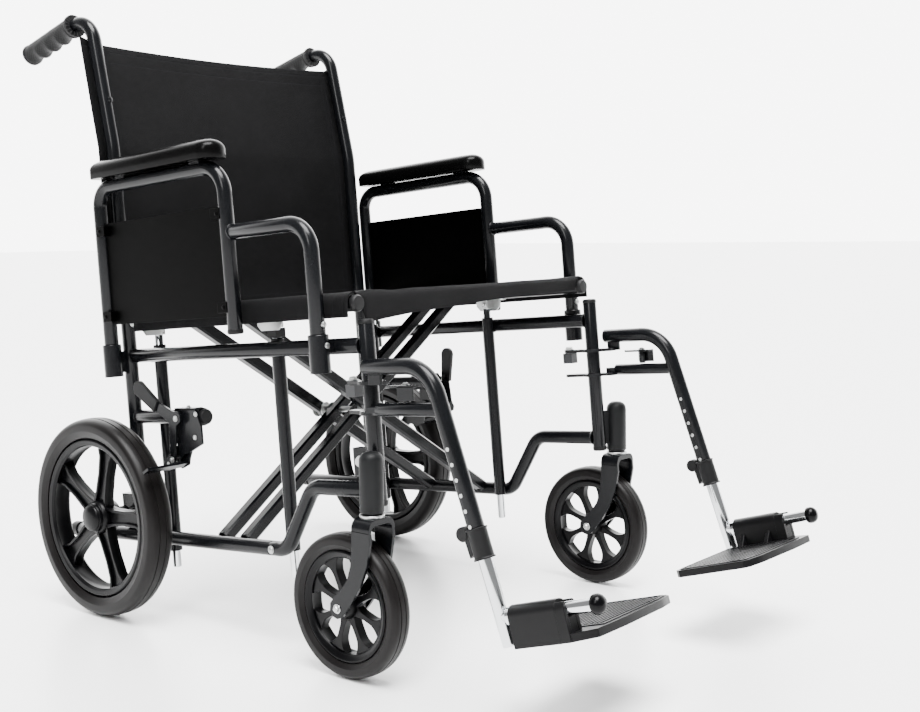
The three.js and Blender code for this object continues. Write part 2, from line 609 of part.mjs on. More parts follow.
// The shoe slides on its stub towards the tyre: a slot lets it travel.
const shoeTravel = 11.6;
const [shoeY, shoeZ] = [-166.2, 259.8];
const toAxle = [0.894, -0.448];
const shoeBar = new THREE.Matrix4()
  .makeTranslation(-332, shoeY, shoeZ)
  .multiply(new THREE.Matrix4().makeRotationX(Math.atan2(toAxle[1], toAxle[0])));
const slotEnd = [SHOE_PIVOT[0] - toAxle[0] * 12, SHOE_PIVOT[1] - toAxle[1] * 12];
const slotSide = [-toAxle[1] * (4 + GAP), toAxle[0] * (4 + GAP)];
const shoe = cut(
  join(
    slab([
      [-184, 302], [-184, 284], [-176, 270], [-172, 258], [-156, 252], [-140, 258],
      [-118, 247], [-108, 256], [-124, 273], [-154, 292], [-170, 302],
    ], bx - 12.6, bx - 8.6),
    placed(box(-25, 55, -8, 8, -2, 2), shoeBar),
  ),
  rod([bx - 15, ...SHOE_PIVOT], [bx, ...SHOE_PIVOT], 4 + GAP, 12),
  rod([bx - 15, ...slotEnd], [bx, ...slotEnd], 4 + GAP, 12),
  slab([
    [SHOE_PIVOT[0] + slotSide[0], SHOE_PIVOT[1] + slotSide[1]],
    [slotEnd[0] + slotSide[0], slotEnd[1] + slotSide[1]],
    [slotEnd[0] - slotSide[0], slotEnd[1] - slotSide[1]],
    [SHOE_PIVOT[0] - slotSide[0], SHOE_PIVOT[1] - slotSide[1]],
  ], bx - 15, bx),
);
const lockedShoe = shoe.translate([0, toAxle[0] * shoeTravel, toAxle[1] * shoeTravel]);
add('brake_shoe_right', onFrame(shoe), steel());
add('brake_shoe_left', onFrame(lockedShoe.mirror([1, 0, 0])), steel());

export default group;
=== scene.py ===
"""A heavy-duty folding transport wheelchair, modelled in metres in the row frame.

+Z is up, the chair faces -Y, and the occupant's right side is -X. Sizes below are in millimetres.
Points are given either in the frame's own axes, which lean back 4.6 degrees, or from the ground.
"""
import math

import bpy
import numpy as np
from mathutils import Matrix, Vector


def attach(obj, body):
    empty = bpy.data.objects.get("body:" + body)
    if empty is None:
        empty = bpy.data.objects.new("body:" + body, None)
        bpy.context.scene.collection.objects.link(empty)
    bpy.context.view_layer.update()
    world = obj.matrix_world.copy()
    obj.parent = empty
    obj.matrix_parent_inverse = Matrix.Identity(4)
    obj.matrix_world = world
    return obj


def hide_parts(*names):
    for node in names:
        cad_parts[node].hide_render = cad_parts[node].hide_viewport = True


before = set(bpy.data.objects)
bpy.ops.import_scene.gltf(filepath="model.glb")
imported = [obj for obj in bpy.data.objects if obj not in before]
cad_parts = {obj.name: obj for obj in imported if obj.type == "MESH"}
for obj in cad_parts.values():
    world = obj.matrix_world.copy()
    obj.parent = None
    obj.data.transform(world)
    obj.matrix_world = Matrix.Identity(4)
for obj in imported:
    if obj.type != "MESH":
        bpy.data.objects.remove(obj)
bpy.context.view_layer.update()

# ---- Frame tubes ----
# Each side frame is welded from 22 mm round steel tube. Every piece is built from swept tubes,
# turned rings and flat plates, drawn for the right side and mirrored to the left.

LEAN = math.radians(-4.585)
AXLE_Y = 339.6
AXLE_Z = 158.75


def from_frame(p):
    x, y, z = p[:, 0], p[:, 1], p[:, 2]
    c, s = math.cos(LEAN), math.sin(LEAN)
    return np.stack([x, y * c - z * s + AXLE_Y - 8.9, y * s + z * c - 19.9], 1) / 1000


def from_ground(p):
    return (p + np.array([0, AXLE_Y, 0])) / 1000


def unit(v):
    v = np.asarray(v, float)
    return v / np.linalg.norm(v)


def rotated(v, axis, angle):
    return np.array(Matrix.Rotation(angle, 3, Vector(axis)) @ Vector(v))


class Piece:
    """Vertices in millimetres, faces, their texture coordinates in metres and their material slots."""

    def __init__(self):
        self.verts, self.faces, self.uvs, self.slots = [], [], [], []

    def add(self, verts, faces, uvs=None, slot=0):
        start = len(self.verts)
        self.verts += [tuple(v) for v in verts]
        for i, f in enumerate(faces):
            self.faces.append(tuple(start + k for k in f))
            self.uvs.append(uvs[i] if uvs else [(verts[k][1] / 1000, verts[k][0] / 1000) for k in f])
            self.slots.append(slot)
        return self

    def rings(self, stations, sides, slot=0, closed=False):
        """Skins a row of rings; each station is (ring of points, length along)."""
        verts, faces, uvs = [], [], []
        for ring, _ in stations:
            verts += list(ring)
        n = len(stations)
        for i in range(n if closed else n - 1):
            j = (i + 1) % n
            va = stations[i][1] / 1000
            vb = (stations[j][1] if j else stations[i][1] + 1) / 1000
            for k in range(sides):
                m = (k + 1) % sides
                faces.append((i * sides + k, i * sides + m, j * sides + m, j * sides + k))
                ua, ub = k / sides, (k + 1) / sides
                uvs.append([(ua, va), (ub, va), (ub, vb), (ua, vb)])
        if not closed:
            faces += [tuple(range(sides))[::-1], tuple(range((n - 1) * sides, n * sides))]
            uvs += [[(0, 0)] * sides, [(0, 0)] * sides]
        return self.add(verts, faces, uvs, slot)

    def tube(self, corners, radius, bend=0, sides=28, slot=0, ease=0.8):
        p = [np.asarray(c, float) for c in corners]
        line = [(p[0], unit(p[1] - p[0]))]
        for i in range(1, len(p) - 1):
            a, b = unit(p[i] - p[i - 1]), unit(p[i + 1] - p[i])
            angle = math.acos(max(-1, min(1, float(a @ b))))
            if angle < 1e-3:
                continue
            axis = unit(np.cross(a, b))
            r = bend[i - 1] if isinstance(bend, (list, tuple)) else bend
            start = p[i] - a * r * math.tan(angle / 2)
            centre = start + np.cross(axis, a) * r
            count = max(4, round(angle / math.radians(6)))
            for k in range(count + 1):
                t = angle * k / count
                line.append((centre + rotated(start - centre, axis, t), rotated(a, axis, t)))
        line.append((p[-1], unit(p[-1] - p[-2])))
        side = np.array([0, 0, 1.0]) if abs(line[0][1][0]) > 0.9 else np.array([1.0, 0, 0])
        stations, run, last = [], 0.0, None
        ends = {0: 1, len(line) - 1: -1}
        for i, (at, along) in enumerate(line):
            side = unit(side - along * float(side @ along))
            up = np.cross(along, side)
            run += 0 if last is None else float(np.linalg.norm(at - last))
            last = at
            rows = [(0, radius)]
            if i in ends and ease:
                rows = [(0, radius - ease), (ease * 0.4 * ends[i], radius - ease * 0.3),
                        (ease * ends[i], radius)]
                rows = rows if i == 0 else rows[::-1]
            for shift, r in rows:
                ring = []
                for k in range(sides):
                    t = 2 * math.pi * k / sides
                    ring.append(at + along * shift + side * r * math.cos(t) + up * r * math.sin(t))
                stations.append((ring, run + shift))
        return self.rings(stations, sides, slot)

    def rod(self, a, b, radius, slot=0, ease=0.6, sides=28):
        return self.tube([a, b], radius, 0, sides, slot, ease)

    def turned(self, profile, origin, axis, sides=48, slot=0, closed=False):
        """A profile of (radius, distance along the axis) turned about the axis through the origin."""
        axis = unit(axis)
        side = unit(np.cross(axis, [0.12, 0.99, 0.1] if abs(axis[1]) < 0.9 else [1, 0, 0]))
        up = np.cross(axis, side)
        stations, run = [], 0.0
        for i, (r, t) in enumerate(profile):
            run += math.dist(profile[i - 1], (r, t)) if i else 0
            r = max(r, 0.01)
            ring = [np.asarray(origin, float) + axis * t + side * r * math.cos(a) + up * r * math.sin(a)
                    for a in (2 * math.pi * k / sides for k in range(sides))]
            stations.append((ring, run))
        return self.rings(stations, sides, slot, closed)

    def prism(self, outline, origin, ux, uy, depth, slot=0):
        """A flat outline in the plane of ux and uy, extruded by depth along ux x uy."""
        ux, uy = unit(ux), unit(uy)
        n = np.cross(ux, uy)
        o = np.asarray(origin, float)
        area = sum(a[0] * b[1] - a[1] * b[0] for a, b in zip(outline, list(outline[1:]) + [outline[0]]))
        outline = list(outline) if area > 0 else list(outline)[::-1]
        k = len(outline)
        low = [o + ux * a + uy * b for a, b in outline]
        verts = low + [v + n * depth for v in low]
        faces = [tuple(range(k))[::-1], tuple(range(k, 2 * k))]
        faces += [(i, (i + 1) % k, k + (i + 1) % k, k + i) for i in range(k)]
        return self.add(verts, faces, None, slot)

    def slab(self, outline, x0, x1, slot=0):
        """An outline of (y, z) points between two x planes."""
        return self.prism(outline, [min(x0, x1), 0, 0], [0, 1, 0], [0, 0, 1], abs(x1 - x0), slot)

    def box(self, x, y, z, slot=0):
        return self.slab([(y[0], z[0]), (y[1], z[0]), (y[1], z[1]), (y[0], z[1])], x[0], x[1], slot)

    def bolt(self, at, axis, head=6.5, height=4.5, washer=9, slot=1, hexagon=True):
        """A washer under a hexagon or domed head, standing out of a surface along the axis."""
        self.turned([(0, 0), (washer, 0), (washer, 1.2), (0, 1.2)], at, axis, 24, slot)
        if hexagon:
            self.turned([(0, 1.2), (head, 1.2), (head, height), (head - 1.2, height + 1.2),
                         (0, height + 1.2)],
                        at, axis, 6, slot)
        else:
            dome = [(head * math.cos(a), 1.2 + height * math.sin(a)) for a in np.linspace(0, math.pi / 2,
                                                                                          7)]
            self.turned([(0, 1.2)] + dome, at, axis, 24, slot)
            hole = 1.2 + height
            self.turned([(0, hole - 1), (head * 0.34, hole - 0.2), (head * 0.34, hole + 0.15),
                         (0, hole + 0.15)],
                        at, axis, 6, slot)
        return self

    def weld(self, at, axis, radius, thick=1.7, slot=0):
        ring = [(radius + thick * math.cos(a), thick * math.sin(a)) for a in np.linspace(0, 2 * math.pi,
                                                                                         9)[:-1]]
        return self.turned(ring, at, axis, 32, slot, closed=True)


def made(name, piece, place, materials, body, nodes, bevel=0.0, mirror=False, crease=38):
    """Turns a Piece into an object that rides on its body and stands for its CAD nodes."""
    p = np.array(piece.verts, float)
    if mirror:
        p[:, 0] *= -1
    p = place(p)
    faces = [f[::-1] for f in piece.faces] if mirror else piece.faces
    mesh = bpy.data.meshes.new(name)
    mesh.from_pydata(p.tolist(), [], faces)
    layer = mesh.uv_layers.new(name="UVMap")
    flat = [uv for face in piece.uvs for uv in (face[::-1] if mirror else face)]
    layer.data.foreach_set("uv", np.array(flat, np.float32).ravel())
    for m in materials:
        mesh.materials.append(m)
    mesh.polygons.foreach_set("material_index", piece.slots)
    mesh.polygons.foreach_set("use_smooth", [True] * len(faces))
    mesh.validate()
    mesh.set_sharp_from_angle(angle=math.radians(crease))
    obj = bpy.data.objects.new(name, mesh)
    bpy.context.scene.collection.objects.link(obj)
    if bevel:
        edge = obj.modifiers.new("edge", "BEVEL")
        edge.width, edge.segments, edge.limit_method = bevel / 1000, 2, "ANGLE"
        edge.angle_limit = math.radians(crease)
        edge.harden_normals = True
    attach(obj, body)
    if nodes:
        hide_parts(*nodes)
    return obj


def pair(name, piece, place, materials, body, nodes=(), bevel=0.0, crease=38):
    """The same piece on both sides; it is drawn for the right side."""
    both = []
    for side in ("right", "left"):
        both.append(made(f"{name}_{side}_visual", piece, place, materials, f"{body}_{side}",
                         [f"{n}_{side}" for n in nodes], bevel, side == "left", crease))
    return both


def colour(code):
    """An sRGB hex code as the linear colour that the shader takes."""
    parts = [int(code[i:i + 2], 16) / 255 for i in (1, 3, 5)]
    return [c / 12.92 if c <= 0.04045 else ((c + 0.055) / 1.055) ** 2.4 for c in parts] + [1.0]


def add(tree, kind, links=(), **settings):
    """Adds a node; settings name its sockets or properties, links are (socket, source socket)."""
    n = tree.nodes.new(kind)
    for key, value in settings.items():
        label = key.replace("_", " ").title()
        if label in n.inputs:
            n.inputs[label].default_value = value
        else:
            setattr(n, key, value)
    for socket, source in links:
        tree.links.new(source, n.inputs[socket])
    return n


def material(name, code, rough, metallic=0.0, grain=0.0015, depth=0.02, uneven=0.06, coat=0.0, patchy=0.0,
             specular=0.5):
    """A surface with its colour, an uneven roughness and a fine bump whose grain is a real size in metres."""
    m = bpy.data.materials.new(name)
    m.use_nodes = True
    t = m.node_tree
    t.nodes.clear()
    where = add(t, "ShaderNodeTexCoord").outputs["Object"]
    cloud = add(t, "ShaderNodeTexNoise", [("Vector", where)], scale=18.0, detail=5.0)
    fine = add(t, "ShaderNodeTexNoise", [("Vector", where)], scale=1 / grain, detail=3.0)
    spread = add(t, "ShaderNodeMapRange", [("Value", cloud.outputs["Fac"])], to_min=rough - uneven,
                 to_max=rough + uneven)
    bump = add(t, "ShaderNodeBump", [("Height", fine.outputs["Fac"])], strength=1.0, distance=depth / 1000)
    bsdf = add(t, "ShaderNodeBsdfPrincipled", [("Roughness", spread.outputs["Result"]),
               ("Normal", bump.outputs["Normal"])], metallic=metallic, coat_weight=coat,
               coat_roughness=0.12)
    bsdf.inputs["Specular IOR Level"].default_value = specular
    if patchy:
        dark = add(t, "ShaderNodeMapRange", [("Value", cloud.outputs["Fac"])], from_min=0.35, from_max=0.65,
                   to_min=1 - patchy, to_max=1 + patchy)
        shade = add(t, "ShaderNodeVectorMath", [("Scale", dark.outputs["Result"])], operation="SCALE")
        shade.inputs[0].default_value = colour(code)[:3]
        t.links.new(shade.outputs[0], bsdf.inputs["Base Color"])
    else:
        bsdf.inputs["Base Color"].default_value = colour(code)
    add(t, "ShaderNodeOutputMaterial", [("Surface", bsdf.outputs[0])])
    m["bump"], m["bsdf"] = bump.name, bsdf.name
    return m


# Powder coat on steel: near black, satin, with a slight unevenness in the highlights.
paint = material("powder_coated_steel_paint", "#0a0b0d", 0.25, grain=0.0022, depth=0.02, coat=0.06,
                 patchy=0.12,
                 specular=0.16)
# Zinc plating is a pale grey metal, a little cloudy, on bolts and saddles.
zinc = material("zinc_plated_steel", "#b4b5b4", 0.3, metallic=1.0, grain=0.0009, depth=0.01, uneven=0.08)

X = -268.3
REAR, FRONT = -27.9, -566.7
R = 11.1
RAIL_Z, LOWER_Z = 430.9, 137.5

back_post = Piece()
back_post.tube([(X, REAR, 149), (X, REAR, 770), (X, 5.7, 989.9), (X, 160, 961.2)], R, [160, 42])
back_post.turned([(11.5, 400), (14.4, 400), (14.4, 451), (13.4, 452), (11.6, 452), (11.5, 451)],
                 (-301.9, -27.5, 0), (0, 0, 1), 40, 0, closed=True)
back_post.box((-292, -274), (REAR - 5, REAR + 5), (406, 440))
back_post.box((X - 9, X + 9), (REAR - 4, 14), (150, 206))
back_post.weld((X, REAR, 150), (0, 0, 1), R)
back_post.bolt((-301.9, -13.2, 427), (0, 1, 0), 5, 4, 7)
pair("back_post", back_post, from_frame, [paint, zinc], "side_frame", ["back_post"], 0.8)

axle = Piece()
axle.rod((-306, 0, AXLE_Z), (-286, 0, AXLE_Z), 10, 0)
axle.rod((-270, 0, AXLE_Z), (-307, 0, AXLE_Z), 6, 1)
axle.bolt((-258.5, 0, AXLE_Z), (1, 0, 0), 9, 7, 12)
pair("axle", axle, from_ground, [paint, zinc], "side_frame", (), 0.4)

rail = Piece()
rail.rod((X, REAR - R - 0.5, RAIL_Z), (X, FRONT + R + 0.5, RAIL_Z), R)
rail.turned([(11.5, 396.5), (14.4, 396.5), (14.4, 448.5), (13.4, 449.5), (11.6, 449.5), (11.5, 448.5)],
            (-301.9, -507, 0), (0, 0, 1), 40, 0, closed=True)
rail.box((-292, -274), (-514, -500), (423, 439))
rail.weld((X, REAR - R, RAIL_Z), (0, 1, 0), R - 0.4)
rail.weld((X, FRONT + R, RAIL_Z), (0, 1, 0), R - 0.4)
rail.turned([(0, 0), (4.2, 0), (4.2, 2.4), (3.4, 3.2), (0, 3.4)], (-300.8, -521.2, 434), (0.1, -1, 0), 24,
            1)
pair("seat_frame_rail", rail, from_frame, [paint, zinc], "side_frame", ["seat_frame_rail"], 0.8)

low = Piece()
low.rod((X, 165, LOWER_Z), (X, -105, LOWER_Z), R)
low.rod((X, -101, LOWER_Z), (X, -343, LOWER_Z), 8.2)
low.tube([(X, -340.5, LOWER_Z), (X, -372.6, LOWER_Z), (X, -437.6, 232.5), (X, FRONT + R, 232.5)], R,
         [32, 32])
low.turned([(0, -2), (12.2, -2), (12.2, 12), (11.6, 15), (8, 17), (0, 17.5)], (X, 155, LOWER_Z), (0, 1, 0),
           32, 2)
low.weld((X, FRONT + R, 232.5), (0, 1, 0), R - 0.4)
for y in (-98, -348):
    low.bolt((X - R + 0.5, y, LOWER_Z), (-1, 0, 0), 4.6, 2.6, 6, 1, False)
# Moulded rubber tips and caps are matte black with soft, wide highlights.
tip_rubber = material("moulded_black_rubber", "#0a0a0b", 0.5, grain=0.0012, depth=0.05, specular=0.2)
pair("lower_rail", low, from_frame, [paint, zinc, tip_rubber], "side_frame", ["lower_rail"], 0.6)

post = Piece()
post.rod((X, FRONT, 216), (X, FRONT, 461), R)
post.turned([(0, 460), (11.6, 460), (11.6, 463), (10, 466), (0, 467)], (X, FRONT, 0), (0, 0, 1), 32, 2)
post.turned([(0, 211), (10.5, 211), (11.6, 214), (11.6, 218), (0, 218)], (X, FRONT, 0), (0, 0, 1), 32, 2)
pair("front_post", post, from_frame, [paint, zinc, tip_rubber], "side_frame", ["front_post"], 0.4)

# ---- Caster housings ----
# A turned steel barrel is welded to each front post through a gusset plate and closed by a domed
# plastic cap. It holds the caster's swivel bearings and stands upright on the leaning frame.
housing = Piece()
housing.turned([(0, 234), (15.6, 234), (16.5, 235.4), (16.5, 304), (16, 307.5), (14.6, 310.8), (12, 313.6),
                (8, 315.8),
                (0, 317)], (-298, -570.5, 0), (0, 0, 1), 48, 2)
across = unit([math.cos(math.radians(28)), math.sin(math.radians(28)), 0])
housing.prism([(-18, 246), (18, 246), (18, 302), (-12, 302), (-18, 292)], (-283.1, -558.9, 0), across,
              (0, 0, 1), 6)
housing.bolt((-296, -558, 293), (-0.55, 0.83, 0), 5, 4, 7)
# The housings' coat is flatter than the tubes', so it reads as charcoal.
charcoal = material("matte_charcoal_powder_coat", "#0c0d0e", 0.5, grain=0.0014, depth=0.03, specular=0.15)
pair("caster_housing", housing, from_ground, [charcoal, zinc, charcoal], "side_frame", (), 0.8)

# ---- Guide tubes and the brake tube ----
# The chrome rods under the seat rails slide in two upright tubes on each side, and a short
# capped tube runs forward from the back post to carry the wheel lock.
for name, y, low_end in (("front", -361.6, 131.5), ("rear", -78.2, 112)):
    guide = Piece()
    guide.turned([(6.9, low_end), (10, low_end), (10, 445), (9.2, 446), (6.9, 446)],
                 (-246.9, y, 0), (0, 0, 1), 32, 0, closed=True)
    guide.box((-264, -250), (y - 3, y + 3), (419, 440))
    guide.box((-264, -250), (y - 3, y + 3), (129, 146))
    pair(f"guide_tube_{name}", guide, from_frame, [paint, zinc, tip_rubber], "side_frame",
         [f"guide_tube_{name}"], 0.5)

brake_tube = Piece()
brake_tube.rod((X, REAR - R - 0.4, 332), (X, -209, 332), R)
brake_tube.turned([(0, -1), (11.9, -1), (11.9, 6), (10.5, 8), (0, 8.4)], (X, -204, 332), (0, -1, 0), 32, 2)
brake_tube.weld((X, REAR - R, 332), (0, 1, 0), R - 0.4)
pair("brake_tube", brake_tube, from_frame, [paint, zinc, tip_rubber], "side_frame", ["brake_tube"], 0.4)

# ---- Cross brace ----
# Two welded members of 19 mm square tube cross at one bolt. Each turns on a sleeve round the
# lower rail of one side and is welded under the seat rail of the other.
SLEEVE = (-340, -105)
BOLT_Z = LOWER_Z + 268.3 * (351 / 537.1)


def member(spacing):
    m = Piece()
    along = unit([537.1, 0, 351])
    across = np.cross([0, 1.0, 0], along) * -1
    length = math.hypot(537.1, 351)
    for dy in (-spacing, spacing):
        y = -245 + dy
        at = np.array([X, y - 9.5, LOWER_Z])
        b = 3
        square = [(-9.5, -9.5 + b), (-9.5 + b, -9.5), (9.5 - b, -9.5), (9.5, -9.5 + b),
                  (9.5, 9.5 - b), (9.5 - b, 9.5), (-9.5 + b, 9.5), (-9.5, 9.5 - b)]
        face = [at + np.array([0, 9.5, 0]) + across * p + np.array([0, q, 0]) for p, q in square]
        near = [v + along * 10 for v in face]
        far = [v + along * (length - R - 0.4) for v in face]
        run = (length - 22) / 1000
        faces = [(i, (i + 1) % 8, 8 + (i + 1) % 8, 8 + i) for i in range(8)]
        faces += [tuple(range(8))[::-1], tuple(range(8, 16))]
        uvs = [[(i / 8, 0), (i / 8 + 0.125, 0), (i / 8 + 0.125, run), (i / 8, run)] for i in range(8)]
        uvs += [[(0, 0)] * 8] * 2
        m.add(near + far, faces, uvs)
        m.weld(at + np.array([0, 9.5, 0]) + along * 11.5, along, 9.8, 1.6)
        m.weld(at + np.array([0, 9.5, 0]) + along * (length - 12.6), along, 9.8, 1.6)
    m.turned([(8.7, SLEEVE[0]), (R - 0.6, SLEEVE[0]), (R, SLEEVE[0] + 0.6), (R, SLEEVE[1] - 0.6),
              (R - 0.6, SLEEVE[1]), (8.7, SLEEVE[1])], (X, 0, LOWER_Z), (0, 1, 0), 36, 0, closed=True)
    return m


right_member = member(26)
left_member = member(62)
left_member.rod((0, -321, BOLT_Z), (0, -169, BOLT_Z), 5, 1)
left_member.bolt((0, -316.5, BOLT_Z), (0, -1, 0), 9, 6, 13)
left_member.bolt((0, -173.5, BOLT_Z), (0, 1, 0), 9, 6, 13)
for y in (-297.3, -280.8, -209.4, -192.7):
    left_member.turned([(0, -0.9), (12, -0.9), (12, 0.9), (0, 0.9)], (0, y, BOLT_Z), (0, 1, 0), 28, 1)
made("cross_brace_right_visual", right_member, from_frame, [paint, zinc], "brace_right",
     ["cross_brace_right"])
made("cross_brace_left_visual", left_member, from_frame, [paint, zinc], "brace_left", ["cross_brace_left"],
     mirror=True)

SEAT_X, SEAT_Z = 268.8, 488.5
seat_rail = Piece()
seat_rail.rod((-SEAT_X, -551, SEAT_Z), (-SEAT_X, -66, SEAT_Z), R)
seat_rail.turned([(0, 0), (11.8, 0), (11.8, 6), (10, 8.5), (0, 9)], (-SEAT_X, -549, SEAT_Z), (0, -1, 0), 32,
                 2)
seat_rail.turned([(0, 0), (11.8, 0), (11.8, 4), (10, 5), (0, 5.2)], (-SEAT_X, -64, SEAT_Z), (0, 1, 0), 32,
                 2)
for side, body in (("right", "brace_left"), ("left", "brace_right")):
    made(f"seat_rail_{side}_visual", seat_rail, from_frame, [paint, zinc, tip_rubber], body,
         [f"seat_rail_{side}"], 0.3, side == "left")

# ---- Guide rods ----
# Chrome plated rods hang from saddles on the seat rails and keep the seat level as it rises.
# The saddles are zinc plated, with a small block where each rod is bolted on.
# Chrome plating is bright and sharp, with only a trace of polishing marks.
chrome = material("chrome_plated_steel", "#d9dbdd", 0.1, metallic=1.0, grain=0.0008, depth=0.004,
                  uneven=0.05)
for name, y, low_end, ends, foot_z in (("front", -361.6, 90, (-386, -332), 458),
                                       ("rear", -78.2, 85, (-106, -50), 462)):
    rods = Piece()
    rods.rod((-246.9, y, low_end), (-246.9, y, 470), 6.6, 0, 1.2)
    saddle = [(11.3, ends[0]), (13.2, ends[0]), (13.2, ends[1]), (11.3, ends[1])]
    rods.turned(saddle, (-SEAT_X, 0, SEAT_Z), (0, 1, 0), 36, 1, closed=True)
    rods.slab([(ends[0], 486), (ends[0], foot_z + 8), (ends[0] + 8, foot_z), (ends[1] - 8, foot_z),
               (ends[1], foot_z + 8), (ends[1], 486)], -257.4, -255.4, 1)
    rods.box((-256, -239.5), (y - 8, y + 8), (462, 478), 1)
    rods.bolt((-239.5, y, 470), (1, 0, 0), 4, 3, 6)
    pair(f"guide_rod_{name}", rods, from_frame, [chrome, zinc, tip_rubber], "guides", [f"guide_rod_{name}"],
         0.7)
stop = Piece().box((-256.5, -237.5), (-371, -352), (447.5, 461))
made("guide_stop_right_visual", stop, from_frame, [tip_rubber], "guides_right", [], 1.0)

# ---- Slings ----
# Coated nylon cloth, doubled and sewn at its hems. The seat is stretched over both rails with its
# side hems hanging outside them, and the back is fixed behind the posts with screws.
# Coated nylon is a dull near black that breaks up into threads when seen close.
nylon = material("woven_nylon_cloth", "#0c0c0d", 0.66, grain=0.004, depth=0.12, uneven=0.05, patchy=0.18,
                 specular=0.06)


def weave(m, hem_u, hem_v, stitch=0.0032):
    """Adds threads and rows of stitches to cloth whose texture coordinates are metres from its centre."""
    thread = 0.0011  # metres between threads, drawn coarse enough for the weave to show
    t = m.node_tree
    bump = t.nodes[m["bump"]]
    uv = add(t, "ShaderNodeUVMap")
    split = add(t, "ShaderNodeSeparateXYZ", [("Vector", uv.outputs["UV"])])
    heights = []
    for axis in ("X", "Y"):
        turn = add(t, "ShaderNodeMath", [(0, split.outputs[axis])], operation="MULTIPLY")
        turn.inputs[1].default_value = 2 * math.pi / thread
        wave = add(t, "ShaderNodeMath", [(0, turn.outputs[0])], operation="SINE")
        heights.append(wave.outputs[0])
    threads = add(t, "ShaderNodeMath", [(0, heights[0]), (1, heights[1])], operation="MULTIPLY")
    soft = add(t, "ShaderNodeMath", [(0, threads.outputs[0])], operation="MULTIPLY")
    soft.inputs[1].default_value = 0.35
    rows = None
    for axis, other, lines in (("X", "Y", hem_u), ("Y", "X", hem_v)):
        for line in lines:
            off = add(t, "ShaderNodeMath", [(0, split.outputs[axis])], operation="SUBTRACT")
            off.inputs[1].default_value = line
            near = add(t, "ShaderNodeMath", [(0, off.outputs[0])], operation="ABSOLUTE")
            on = add(t, "ShaderNodeMapRange", [("Value", near.outputs[0])], from_min=0.0004,
                     from_max=0.0014,
                     to_min=1.0, to_max=0.0)
            beat = add(t, "ShaderNodeMath", [(0, split.outputs[other])], operation="PINGPONG")
            beat.inputs[1].default_value = stitch
            knot = add(t, "ShaderNodeMapRange", [("Value", beat.outputs[0])], from_min=0.0,
                       from_max=stitch * 0.35)
            one = add(t, "ShaderNodeMath", [(0, on.outputs["Result"]), (1, knot.outputs["Result"])],
                      operation="MULTIPLY")
            if rows is None:
                rows = one.outputs[0]
            else:
                rows = add(t, "ShaderNodeMath", [(0, rows), (1, one.outputs[0])],
                           operation="MAXIMUM").outputs[0]
    total = add(t, "ShaderNodeMath", [(0, soft.outputs[0]), (1, rows)], operation="SUBTRACT")
    sewn = add(t, "ShaderNodeBump", [("Height", total.outputs[0]), ("Normal", bump.outputs["Normal"])],
               strength=0.9, distance=0.0007)
    t.links.new(sewn.outputs["Normal"], t.nodes[m["bsdf"]].inputs["Normal"])
    pale = add(t, "ShaderNodeMixRGB", [("Fac", rows)], blend_type="MIX")
    source = t.nodes[m["bsdf"]].inputs["Base Color"]
    t.links.new(source.links[0].from_socket, pale.inputs[1])
    pale.inputs[2].default_value = colour("#111113")
    t.links.new(pale.outputs[0], source)


def cloth(name, points, across, along, thick, cloth_material, body, node):
    """A grid of points, rows across and columns along, with texture coordinates in metres."""
    rows, cols = len(points), len(points[0])
    mesh = bpy.data.meshes.new(name)
    flat = [tuple(p) for row in points for p in row]
    faces = [(i * cols + j, i * cols + j + 1, (i + 1) * cols + j + 1, (i + 1) * cols + j)
             for i in range(rows - 1) for j in range(cols - 1)]
    mesh.from_pydata(from_frame(np.array(flat)).tolist(), [], faces)
    layer = mesh.uv_layers.new(name="UVMap")
    uvs = []
    for f in faces:
        uvs += [(across[k // cols] / 1000, along[k % cols] / 1000) for k in f]
    layer.data.foreach_set("uv", np.array(uvs, np.float32).ravel())
    mesh.polygons.foreach_set("use_smooth", [True] * len(faces))
    mesh.materials.append(cloth_material)
    obj = bpy.data.objects.new(name, mesh)
    bpy.context.scene.collection.objects.link(obj)
    solid = obj.modifiers.new("thickness", "SOLIDIFY")
    solid.thickness, solid.offset = thick / 1000, 0.0
    edge = obj.modifiers.new("edge", "BEVEL")
    edge.width, edge.segments, edge.limit_method = thick / 2600, 2, "ANGLE"
    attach(obj, body)
    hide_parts(node)
    return obj


